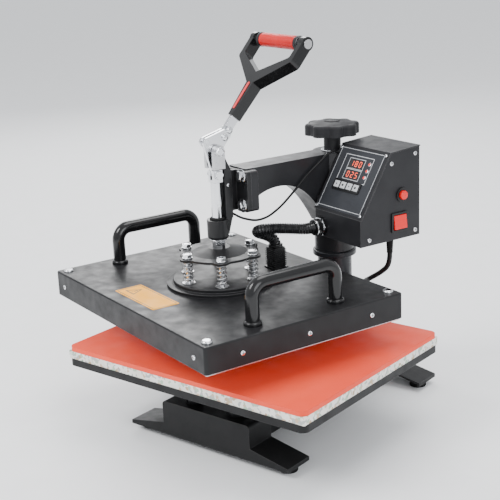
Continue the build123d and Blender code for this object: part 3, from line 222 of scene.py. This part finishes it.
def silicone_finish():
    """Orange-red silicone: closed skin with fine pores, slightly chalky."""
    n = Nodes("silicone_sheet")
    shade = n.mix(n.span(n.noise(12.0, 8.0), 0, 1), (0.80, 0.045, 0.010), (0.86, 0.070, 0.020))
    pores = n.add("ShaderNodeTexVoronoi", Scale=700.0)
    n.join(n.place, pores.inputs["Vector"])
    shade = n.mix(n.span(pores.outputs["Distance"], 0.25, 0, 0.02, 0.12), shade, (0.55, 0.03, 0.008))
    n.join(shade, n.shader.inputs["Base Color"])
    n.join(n.span(n.noise(40.0), 0.48, 0.66), n.shader.inputs["Roughness"])
    n.shader.inputs["Subsurface Weight"].default_value = 0.08
    n.shader.inputs["Subsurface Scale"].default_value = 0.002
    n.relief(n.noise(320.0), 0.00012, 0.5, 0.0012)
    return n.mat


def glow(name, color, strength):
    n = Nodes(name)
    n.shader.inputs["Base Color"].default_value = (*color, 1.0)
    n.shader.inputs["Emission Color"].default_value = (*color, 1.0)
    n.shader.inputs["Emission Strength"].default_value = strength
    n.join(n.span(n.noise(500.0), 0.25, 0.4), n.shader.inputs["Roughness"])
    return n.mat


BRUSH = (1.0, 1.0, 14.0)
MATERIALS = {
    "base_black": finish_of("base_powder", (0.0045, 0.0045, 0.005), 0.44, wear=0.35, grain=1500, depth=0.00008,
                            specular=0.25),
    "arm_black": finish_of("arm_paint", (0.012, 0.012, 0.014), 0.36, wear=0.3, grain=420, depth=0.0002, coat=0.1,
                           specular=0.3),
    "head_black": finish_of("head_paint", (0.006, 0.006, 0.007), 0.33, wear=0.35, grain=420, depth=0.00015, coat=0.1,
                            specular=0.3),
    "post_steel": finish_of("post_paint", (0.018, 0.019, 0.022), 0.32, metal=0.2, wear=0.3, stretch=BRUSH,
                            specular=0.3),
    "rubber": finish_of("black_rubber", (0.005, 0.005, 0.005), 0.78, grain=600, depth=0.0001, dust=0.02, specular=0.2),
    "foam": foam_finish(),
    "silicone": silicone_finish(),
    "chrome": finish_of("bright_chrome", (0.80, 0.81, 0.83), 0.11, metal=1.0, mottle=0.04, grain=700, dust=0.0),
    "steel": finish_of("ground_steel", (0.58, 0.58, 0.59), 0.27, metal=1.0, stretch=BRUSH, mottle=0.08, dust=0.0),
    "platen_black": finish_of("platen_paint", (0.0065, 0.0065, 0.0075), 0.40, wear=0.75, grain=1300, depth=0.00007,
                              rounded=0.0008, dust=0.02, specular=0.25),
    "aluminium": finish_of("milled_aluminium", (0.70, 0.70, 0.72), 0.25, metal=1.0, stretch=(1, 18, 1), dust=0.0),
    "insulation": finish_of("fibre_blanket", (0.72, 0.70, 0.62), 0.95, grain=300, depth=0.0006),
    "handle_black": finish_of("gloss_handle", (0.004, 0.004, 0.0045), 0.16, coat=0.25, grain=250, depth=0.00006,
                              dust=0.01, specular=0.3),
    "grip_red": finish_of("red_grip", (0.60, 0.006, 0.006), 0.36, grain=500, depth=0.0001, coat=0.1, dust=0.0,
                          specular=0.3),
    "inlay_red": finish_of("pink_inlay", (0.72, 0.04, 0.045), 0.28, coat=0.2, dust=0.0),
    "knob_grey": finish_of("knob_moulding", (0.012, 0.012, 0.014), 0.58, grain=1400, depth=0.00012, rounded=0.0008,
                           specular=0.3),
    "box_grey": finish_of("box_powder", (0.010, 0.010, 0.012), 0.42, wear=0.4, grain=1600, depth=0.0001, specular=0.3),
    "overlay": finish_of("overlay_film", (0.022, 0.024, 0.029), 0.46, grain=1800, depth=0.00003, specular=0.3),
    "display": finish_of("display_glass", (0.004, 0.002, 0.002), 0.08, coat=0.4, dust=0.0),
    "lamp": glow("lamp_lens", (0.85, 0.02, 0.01), 0.35),
    "button_light": finish_of("key_plastic", (0.50, 0.51, 0.52), 0.40, grain=1200, rounded=0.0006),
    "trim_black": finish_of("trim_moulding", (0.005, 0.005, 0.0055), 0.30, grain=900, coat=0.1, specular=0.3),
    "switch_red": finish_of("switch_red", (0.78, 0.006, 0.004), 0.18, coat=0.4, dust=0.0, specular=0.3),
    "cable": finish_of("cable_sheath", (0.004, 0.004, 0.0045), 0.46, grain=900, dust=0.02, specular=0.25),
    "label": finish_of("label_film", (1.0, 0.42, 0.01), 0.55, coat=0.0, mottle=0.04, dust=0.0, specular=0.3),
}
SLOT_OF = {entry["node"]: entry["material_slot"] for entry in frame["record"]["subparts"]}
for node_name, node in nodes.items():
    node.data.materials.clear()
    node.data.materials.append(MATERIALS[SLOT_OF[node_name]])
PRINT_WHITE = finish_of("printed_line", (0.66, 0.67, 0.69), 0.45, dust=0.0)
# black for printed marks, and also painted shade for the screw heads' cross recesses
PRINT_AND_SHADE_BLACK = finish_of("print_and_shade_black", (0.012, 0.012, 0.012), 0.4, dust=0.0)
DIGIT = glow("digit_segment", (1.0, 0.10, 0.04), 1.6)


# ---- pieces -------------------------------------------------------------
def piece(name, bm, slot, body, material=None, smooth=True):
    mesh = bpy.data.meshes.new(name)
    bm.normal_update()
    bm.to_mesh(mesh)
    bm.free()
    mesh.polygons.foreach_set("use_smooth", [smooth] * len(mesh.polygons))
    obj = bpy.data.objects.new(name, mesh)
    bpy.context.scene.collection.objects.link(obj)
    mesh.materials.append(material or MATERIALS[slot])
    if smooth:
        mesh.set_sharp_from_angle(angle=math.radians(38))
    if body:
        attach(obj, body)
    return obj


def lathe(name, matrix, profile, slot, body, sides=40, material=None, squash_y=1.0):
    """Turned piece: profile is (radius, height) in millimetres along the matrix's z."""
    bm = bmesh.new()
    rings = []
    for radius, height in profile:
        ring = []
        for i in range(sides):
            a = 2 * math.pi * i / sides
            point = Vector((radius * math.cos(a), squash_y * radius * math.sin(a), height)) / 1000
            ring.append(bm.verts.new(matrix @ point))
        rings.append(ring)
    for low, high in zip(rings, rings[1:]):
        for i in range(sides):
            j = (i + 1) % sides
            bm.faces.new((low[i], low[j], high[j], high[i]))
    bm.faces.new(tuple(reversed(rings[0])))
    bm.faces.new(tuple(rings[-1]))
    return piece(name, bm, slot, body, material)


def blocks(name, boxes, slot, body, material=None):
    """Boxes joined in one piece: each is (matrix, width, depth, height) in millimetres."""
    bm = bmesh.new()
    for matrix, w, d, h in boxes:
        made = bmesh.ops.create_cube(bm, size=1.0)["verts"]
        bmesh.ops.scale(bm, vec=(w / 1000, d / 1000, h / 1000), verts=made)
        bmesh.ops.translate(bm, vec=(0, 0, h / 2000), verts=made)
        bmesh.ops.transform(bm, matrix=matrix, verts=made)
    return piece(name, bm, slot, body, material, smooth=False)


def outline(matrix_at, u, v, w, h, line, height=0.12):
    """Four thin bars round a window."""
    return [
        (matrix_at(u, v + h / 2), w + line, line, height), (matrix_at(u, v - h / 2), w + line, line, height),
        (matrix_at(u - w / 2, v), line, h - line, height), (matrix_at(u + w / 2, v), line, h - line, height),
    ]


def soft_path(points, per_leg=14):
    """Points along a clamped quadratic B-spline of the control points."""
    p = [Vector(q) for q in points]
    mids = [p[0]] + [(a + b) / 2 for a, b in zip(p[1:-1], p[2:-1])] + [p[-1]]
    path = []
    for start, corner, end in zip(mids, p[1:-1], mids[1:]):
        for i in range(per_leg):
            t = i / per_leg
            path.append(start * (1 - t) ** 2 + corner * 2 * t * (1 - t) + end * t * t)
    return path + [p[-1]]


def evenly(path, count):
    """The same line at evenly spaced points."""
    lengths = [0.0]
    for a, b in zip(path, path[1:]):
        lengths.append(lengths[-1] + (b - a).length)
    out, k = [], 0
    for i in range(count):
        want = lengths[-1] * i / (count - 1)
        while k < len(path) - 2 and lengths[k + 1] < want:
            k += 1
        part = (want - lengths[k]) / max(1e-9, lengths[k + 1] - lengths[k])
        out.append(path[k].lerp(path[k + 1], min(1.0, part)))
    return out, lengths[-1]


def hose(name, path, radius_at, slot, body, sides=28, material=None):
    """Tube round a path with a radius that changes along it."""
    bm = bmesh.new()
    rings, normal = [], None
    for i, point in enumerate(path):
        along = (path[min(i + 1, len(path) - 1)] - path[max(i - 1, 0)]).normalized()
        if normal is None:
            normal = along.orthogonal().normalized()
        normal = (normal - along * normal.dot(along)).normalized()
        other = along.cross(normal)
        radius = radius_at(i / (len(path) - 1))
        rings.append([
            bm.verts.new(point + radius * (math.cos(2 * math.pi * k / sides) * normal
                                           + math.sin(2 * math.pi * k / sides) * other))
            for k in range(sides)
        ])
    for low, high in zip(rings, rings[1:]):
        for k in range(sides):
            j = (k + 1) % sides
            bm.faces.new((low[k], low[j], high[j], high[k]))
    bm.faces.new(tuple(reversed(rings[0])))
    bm.faces.new(tuple(rings[-1]))
    return piece(name, bm, slot, body, material)


# ---- flexible conduit with its ribs -------------------------------------
CONDUIT_ROUTE = [
    (40, 122, 242), (40, 111, 242), (30, 98, 243), (19, 80, 244.8), (10, 62.5, 245), (-7, 62, 238),
    (-4, 79, 231), (-0.5, 89.5, 223), (-0.5, 89.5, 214),
]
RIB = 0.0031
conduit_path, conduit_length = evenly(soft_path([arm_point(*q) for q in CONDUIT_ROUTE]), 300)
conduit_line = hose(
    "conduit_ribbed", conduit_path,
    lambda t: 0.00705 + 0.0007 * math.sin(2 * math.pi * t * round(conduit_length / RIB)),
    "cable", None, material=finish_of("conduit_nylon", (0.005, 0.005, 0.006), 0.24, coat=0.25, dust=0.01),
)
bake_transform(conduit_line)
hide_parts("conduit")
GLAND = facing_front(40, 136, 242)
lathe("gland_nut", GLAND, [(12.4, 0.2), (12.9, 0.8), (12.9, 3.6), (11.2, 4.4), (10.9, 4.6)], "chrome", "arm", 6)
lathe("gland_ring", GLAND, [(10.6, 10.6), (11.1, 11.0), (11.1, 12.6), (10.6, 13.0)], "chrome", "arm")
lathe("conduit_ferrule", flat(-0.5, 89.5, 213.9), [(9.2, 0), (9.6, 0.5), (9.6, 3.4), (8.6, 4.2)], "trim_black", "platen")

# ---- mains cord, its coil, boot and plug --------------------------------
CORD = [
    (0.1046, 0.1645, 0.2078), (0.1046, 0.1645, 0.1915), (0.0845, 0.1752, 0.1745), (0.052, 0.1925, 0.154),
    (0.028, 0.222, 0.140), (0.014, 0.262, 0.106), (0.008, 0.274, 0.058), (0.002, 0.298, 0.030), (-0.0018, 0.318, 0.0205),
]
COIL_X, COIL_Y, IN_R, OUT_R = -0.040, 0.330, 0.0343, 0.0416
LAYERS = (0.0179, 0.0108, 0.0037)


def ease(value, low, high):
    t = min(1.0, max(0.0, (value - low) / (high - low)))
    return t * t * (3 - 2 * t)


def coil_at(angle):
    """Radius and height of the cord in the coil; angle in degrees from where it lands."""
    turn, a = divmod(angle, 360.0)
    turn = int(turn)
    if turn == 0:
        return 0.038 + (IN_R - 0.038) * ease(a, 0, 90), LAYERS[0] + (LAYERS[1] - LAYERS[0]) * ease(a, 245, 360)
    if turn == 1:
        return IN_R, LAYERS[1] + (LAYERS[2] - LAYERS[1]) * ease(a, 245, 360)
    if turn == 2:
        return IN_R + (OUT_R - IN_R) * ease(a, 115, 245), LAYERS[2]
    if turn == 3:
        return OUT_R, LAYERS[2] + (LAYERS[1] - LAYERS[2]) * ease(a, 0, 115)
    return OUT_R + 0.0078 * ease(a, 0, 75), LAYERS[1] - 0.0015 * ease(a, 20, 90)


for step in range(0, 4 * 360 + 91, 10):
    reach, height = coil_at(step)
    CORD.append((COIL_X + reach * math.cos(math.radians(step)), COIL_Y + reach * math.sin(math.radians(step)), height))
PLUG_Y = CORD[-1][1]
CORD.append((-0.0535, PLUG_Y, 0.0093))
curve = bpy.data.curves.new("mains_lead", "CURVE")
curve.dimensions = "3D"
spline = curve.splines.new("NURBS")
spline.points.add(len(CORD) - 1)
for point, value in zip(spline.points, CORD):
    point.co = (*value, 1.0)
spline.order_u = 3
spline.use_endpoint_u = True
spline.resolution_u = 8
curve.bevel_depth = 0.0034
curve.bevel_resolution = 6
curve.materials.append(MATERIALS["cable"])
lead = bpy.data.objects.new("mains_lead", curve)
bpy.context.scene.collection.objects.link(lead)
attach(lead, "base")
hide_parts("mains_cord", "cord_coil")
PLUG = Matrix.Translation((-0.052, PLUG_Y, 0.0093)) @ Matrix.Rotation(math.radians(-90), 4, "Y")
plug_profile = [(4.1, 0)]
for i in range(5):
    plug_profile += [(5.2 + i * 0.55, 2 + i * 3.2), (5.3 + i * 0.55, 3.8 + i * 3.2), (4.5 + i * 0.55, 4.3 + i * 3.2),
                     (4.5 + i * 0.55, 4.9 + i * 3.2)]
plug_profile += [(9.4, 20), (11.4, 23), (11.9, 30), (11.0, 36), (11.6, 44), (11.8, 51), (11.0, 53.6), (9.0, 54)]
plug = lathe("plug_body", PLUG, plug_profile, "trim_black", "base", 48, squash_y=1.0)
for vertex in plug.data.vertices:
    vertex.co.z = 0.0093 + (vertex.co.z - 0.0093) * 0.74
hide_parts("mains_plug")
for side in (-9.5, 9.5):
    pin_at = PLUG @ Matrix.Translation((0, side / 1000, 0.054))
    lathe(f"plug_pin_{'a' if side < 0 else 'b'}", pin_at, [(2.5, 0), (2.5, 9), (2.35, 9.2), (2.4, 17.5), (1.2, 19)],
                      "chrome", "base", 20)
boot_axis = Vector(CORD[0]) - Vector(CORD[1])
boot_path = [Vector(CORD[0]) + boot_axis.normalized() * (0.0002 + 0.0238 * i / 60) for i in range(61)]
boot = hose(
    "boot_ribbed", boot_path,
    lambda t: 0.0040 + 0.0014 * t - (0.0005 if 0.08 < t < 0.8 and (t * 9) % 1 < 0.4 else 0.0), "rubber", "arm",
)
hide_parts("strain_relief")

# ---- control panel ------------------------------------------------------
SEGMENTS = {"1": "bc", "8": "abcdefg", "0": "abcdef", "2": "abged", "5": "afgcd"}
BARS = {"a": (0, 3.6, 3.4, 0.8), "g": (0, 0, 3.4, 0.8), "d": (0, -3.6, 3.4, 0.8), "b": (1.9, 1.8, 0.8, 3.0),
        "c": (1.9, -1.8, 0.8, 3.0), "f": (-1.9, 1.8, 0.8, 3.0), "e": (-1.9, -1.8, 0.8, 3.0)}
lit, frames = [], []
for v_row, text in ((23.2, "180"), (8.0, "025")):
    for place_no, digit in enumerate(text):
        for key in SEGMENTS[digit]:
            du, dv, w, h = BARS[key]
            lit.append((on_panel(-3.0 + (place_no - 1) * 8.0 + du, v_row + dv, 0.42), w, h, 0.1))
    frames += outline(on_panel, -3.0, v_row, 30.6, 13.9, 0.7)
blocks("digit_segments", lit, "display", "arm", DIGIT)
frames += outline(on_panel, -1.0, 16.5, 55.0, 35.5, 0.8)
frames += outline(on_panel, 0.0, 1.0, 84.0, 82.0, 0.6)
blocks("panel_lines", frames, "overlay", "arm", PRINT_WHITE)
for number in range(4):
    key_at = on_panel(-21.5 + number * 12.5, -8.5, 2.9)
    lathe(f"key_mark_{number + 1}", key_at, [(1.7, 0), (1.7, 0.08), (0.2, 0.09)], "button_light",
          f"button_{number + 1}", 3 if number % 2 == 0 else 24, PRINT_AND_SHADE_BLACK)
for number, v in enumerate((26.0, 16.7, 7.6)):
    lathe(f"lamp_ring_{number + 1}", on_panel(22.3, v, 0.4),
          [(1.75, 0), (2.7, 0), (2.7, 0.5), (2.3, 0.8), (1.75, 0.8)], "chrome", "arm", 32)


# ---- small screws and washers -------------------------------------------
def screw(name, matrix, radius, height, slot, body, cross=True):
    """Domed screw head with its cross recess drawn as thin black bars: painted shade of the recess."""
    lathe(name, matrix, [(radius, 0), (radius, height * 0.35), (radius * 0.86, height * 0.75),
                         (radius * 0.5, height * 0.96), (radius * 0.1, height)], slot, body, 32)
    if cross:
        # painted shade: black bars on the head stand in for the shadow inside the cross recess
        top = matrix @ Matrix.Translation((0, 0, height * 0.93 / 1000))
        blocks(name + "_cross", [(top, radius * 1.1, radius * 0.22, 0.14 * height),
                                 (top, radius * 0.22, radius * 1.1, 0.14 * height)], slot, body, PRINT_AND_SHADE_BLACK)


for number, (y, z) in enumerate(((150, 236), (228, 236), (228, 338), (188, 330))):
    screw(f"box_screw_{number + 1}", facing_right(121.0, y, z), 3.0, 1.6, "chrome", "arm")
for number, (u, v) in enumerate(((-44, 42), (44, 42), (-44, -42), (44, -42))):
    screw(f"panel_screw_{number + 1}", on_panel(u, v, 0.4), 2.4, 1.3, "chrome", "arm")
for number, (x, y) in enumerate(((-1, -1), (1, -1), (-1, 1), (1, 1))):
    edge_x, edge_y = x * 166, y * 145
    screw(f"skirt_screw_{number + 1}", place((edge_x, edge_y, 167), (1, 0, 0), (0, y, 0)), 3.2, 1.5, "chrome", "platen")
for number, y in enumerate((-95, 0, 95)):
    for hand in (-1, 1):
        screw(f"flank_screw_{number + 1}_{'r' if hand > 0 else 'l'}",
              place((hand * 190, y, 167), (0, 1, 0), (hand, 0, 0)), 3.2, 1.5, "chrome", "platen")
screw("column_set_screw", facing_right(9.0, 13.0, 312.0), 2.4, 0.9, "chrome", "arm")
for number, (x, z) in enumerate(((-18, 284.5), (18, 284.5), (-18, 323.5), (18, 323.5))):
    bolt = facing_front(x, 28.0, z)
    lathe(f"head_washer_{number + 1}", bolt, [(8.6, 0), (8.8, 0.3), (8.8, 1.0), (8.4, 1.3), (7.3, 1.3)], "chrome", "arm")
    lathe(f"head_bolt_dome_{number + 1}", facing_front(x, 22.7, z), [(5.6, 0), (5.2, 0.35), (3.0, 0.6), (0.3, 0.7)],
          "chrome", "arm")
for number in range(6):
    a = math.radians(30 + 60 * number)
    x, y = 48 * math.cos(a), 48 * math.sin(a)
    lathe(f"spring_seat_{number + 1}", flat(x, y, 193.0), [(8.2, 0), (8.4, 0.3), (8.4, 0.8), (7.0, 0.9)], "steel", "platen")
    lathe(f"bolt_dome_{number + 1}", flat(x, y, 231.2), [(5.0, 0), (4.6, 0.3), (2.6, 0.55), (0.2, 0.6)], "chrome", "platen")
lathe("disc_rim", flat(0, 0, 188.5), [(61.6, 0), (63.2, 0), (63.4, 0.3), (63.0, 0.6), (61.6, 0.6)], "platen_black", "platen", 96)
lathe("boss_wiper", flat(0, 0, 268.4), [(7.2, 0), (10.2, 0), (10.2, 1.6), (9.0, 2.6), (7.6, 2.9)], "rubber", "arm")
lathe("boss_collar", flat(0, 0, 243.2), [(7.3, 0), (11.0, -0.1), (11.6, -1.0), (10.6, -1.8), (7.3, -1.8)], "chrome", "arm")
for hand in (-1, 1):
    tag = "r" if hand > 0 else "l"
    stud = place((hand * 15.0, 0, 358.0), (0, 1, 0), (hand, 0, 0))
    lathe(f"stud_cap_{tag}", stud, [(6.2, 0), (6.0, 0.5), (5.0, 1.0), (4.4, 1.0), (4.2, 0.2)], "chrome", "arm", 6)
    for end in (-61, 61):
        foot = flat(hand * 162, end, 187.4)
        lathe(f"handle_foot_{tag}_{'b' if end > 0 else 'f'}", foot,
              [(10.9, 0), (11.0, 0.6), (10.4, 1.7), (9.3, 2.4), (8.7, 2.6)], "handle_black", "platen")

# ---- terminal box ridges, base details ----------------------------------
ridges = []
for number in range(9):
    ridges.append((flat(-0.5, 89.5, 189.2 + number * 2.6), 20.2, 20.2, 1.2))
blocks("terminal_ridges", ridges, "trim_black", "platen")
for number, (x, y) in enumerate(((-112, -79.5), (112, -79.5), (-112, 224.5), (112, 224.5))):
    spot = Matrix.Translation((x / 1000, y / 1000, 0))
    lathe(f"foot_ring_{number + 1}", spot, [(10.6, 0.2), (11.4, 0.8), (11.6, 2.2), (11.2, 3.0), (10.8, 3.0)], "rubber", "base")
for number, (x, y) in enumerate(((-28, 161), (28, 161), (-28, 217), (28, 217))):
    spot = Matrix.Translation((x / 1000, y / 1000, 0.062))
    lathe(f"post_washer_{number + 1}", spot, [(8.4, 0), (8.6, 0.3), (8.6, 1.3), (8.2, 1.6), (7.4, 1.6)], "chrome", "base")
post_at = Matrix.Translation((0, 0.189, 0.062))
lathe("post_weld", post_at, [(23.2, 0), (27.2, 0.1), (26.6, 1.4), (25.2, 2.6), (24.0, 4.0), (23.4, 4.3)], "post_steel", "base", 64)
knob_at = Matrix.Translation((0, 0.189, 0.3708))
lathe("knob_cap", knob_at, [(11.0, -1.2), (11.0, 0.2), (10.4, 0.7), (9.6, 0.7), (9.2, 0.3), (3.0, 0.5), (0.4, 0.6)],
      "knob_grey", "knob", 64)
neck_at = Matrix.Translation((0, 0.189, 0.3314))
lathe("knob_washer", neck_at, [(12.2, 0), (15.5, 0), (15.8, 0.4), (15.5, 1.2), (12.2, 1.2)], "chrome", "knob", 48)

# ---- lever handle -------------------------------------------------------
grip_at = place((0, 166 * LEVER_V[1], 358 + 166 * LEVER_V[2]), (0, 1, 0), (1, 0, 0))
ridged = [(8.6, -37), (9.0, -36.4)]
for number in range(24):
    x = -34.5 + number * 2.9
    ridged += [(9.05, x), (9.05, x + 1.5), (8.55, x + 1.8), (8.55, x + 2.6)]
ridged += [(9.0, 36.4), (8.6, 37)]
grip = lathe("grip_ridged", grip_at, ridged, "grip_red", "lever", 48)
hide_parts("grip_barrel")
for end in (-1, 1):
    collar = grip_at @ Matrix.Translation((0, 0, end * 0.040))
    lathe(f"grip_collar_{'r' if end > 0 else 'l'}", collar,
          [(8.6, -2.9), (9.3, -2.4), (9.5, 0), (9.3, 2.4), (8.6, 2.9)], "knob_grey", "lever", 48)
for number, u in enumerate((20.0, 31.0)):
    spot = place((0, u * LEVER_V[1], 358 + u * LEVER_V[2]), (0, 1, 0), (1, 0, 0))
    for hand in (-1, 1):
        turn = spot @ Matrix.Translation((0, 0, hand * 0.0069)) @ Matrix.Rotation(0 if hand > 0 else math.pi, 4, "X")
        lathe(f"rivet_dome_{number + 1}_{'r' if hand > 0 else 'l'}", turn, [(4.3, 0), (3.9, 0.5), (2.4, 0.9), (0.3, 1.05)],
              "chrome", "lever", 32)

# ---- warning label ------------------------------------------------------
LABEL = (-8.0, -106.0, 185.2)


def on_label(u, v):
    return flat(LABEL[0] + u, LABEL[1] + v, LABEL[2])


blocks("label_frame", outline(on_label, 0, 0, 93, 33, 0.9, 0.06), "label", "platen", PRINT_AND_SHADE_BLACK)
bm = bmesh.new()
rings = []
for radius in (12.5, 9.8):
    ring = []
    for angle in (90, 210, 330):
        c, s = radius * math.cos(math.radians(angle)), radius * math.sin(math.radians(angle))
        ring.append(bm.verts.new(on_label(-30 + c, -2 + s) @ Vector((0, 0, 0.00007))))
    rings.append(ring)
for i in range(3):
    j = (i + 1) % 3
    bm.faces.new((rings[0][i], rings[0][j], rings[1][j], rings[1][i]))
piece("label_triangle", bm, "label", "platen", PRINT_AND_SHADE_BLACK, smooth=False)
blocks("label_bang", [(on_label(-30, 1.2), 1.6, 6.0, 0.07), (on_label(-30, -4.4), 1.7, 1.7, 0.07)], "label", "platen", PRINT_AND_SHADE_BLACK)

# ---- studio -------------------------------------------------------------
def stage_mesh(name, points, faces, material):
    mesh = bpy.data.meshes.new(name)
    mesh.from_pydata(points, [], faces)
    mesh.materials.append(material)
    obj = bpy.data.objects.new(name, mesh)
    bpy.context.scene.collection.objects.link(obj)
    return obj


floor = stage_mesh("floor", [(-30, -30, 0), (30, -30, 0), (30, 30, 0), (-30, 30, 0)], [(0, 1, 2, 3)],
                   finish_of("floor_paper", (0.93, 0.935, 0.94), 0.75, mottle=0.01, dust=0.0, rounded=0.0))


def soft_light(name, place_at, target, size, power, color=(1, 1, 1)):
    light = bpy.data.lights.new(name, "AREA")
    light.shape, light.size, light.energy, light.color = "DISK", size, power, color
    obj = bpy.data.objects.new(name, light)
    obj.location = place_at
    obj.rotation_euler = (Vector(target) - Vector(place_at)).to_track_quat("-Z", "Y").to_euler()
    bpy.context.scene.collection.objects.link(obj)


soft_light("key", (-0.9, -1.5, 1.9), (0, 0, 0.2), 1.1, 42)
soft_light("fill", (1.9, -0.9, 1.1), (0, 0, 0.2), 1.4, 22, (0.96, 0.98, 1.0))
soft_light("top", (0.1, 0.5, 2.3), (0, 0.05, 0.2), 1.6, 30)
soft_light("rim", (-1.6, 1.5, 1.3), (0, 0.1, 0.25), 1.0, 20)
world = bpy.data.worlds.new("studio")
world.use_nodes = True
world.node_tree.nodes["Background"].inputs["Color"].default_value = (0.90, 0.92, 0.95, 1)
world.node_tree.nodes["Background"].inputs["Strength"].default_value = 1.15
bpy.context.scene.world = world

camera_data = bpy.data.cameras.new("camera")
camera_data.lens, camera_data.sensor_width = 81.32, 36.0
camera = bpy.data.objects.new("camera", camera_data)
bpy.context.scene.collection.objects.link(camera)
azimuth, elevation, roll = math.radians(39.043), math.radians(16.444), math.radians(-2.467)
back = Vector((math.sin(azimuth) * math.cos(elevation), -math.cos(azimuth) * math.cos(elevation), math.sin(elevation)))
right = Vector((math.cos(azimuth), math.sin(azimuth), 0))
up = back.cross(right)
right_rolled = math.cos(roll) * right + math.sin(roll) * up
up_rolled = -math.sin(roll) * right + math.cos(roll) * up
view = Matrix((right_rolled, up_rolled, back)).transposed().to_4x4()
view.translation = Vector((0.85625, -1.05316, 0.6382))
camera.matrix_world = view
bpy.context.scene.camera = camera
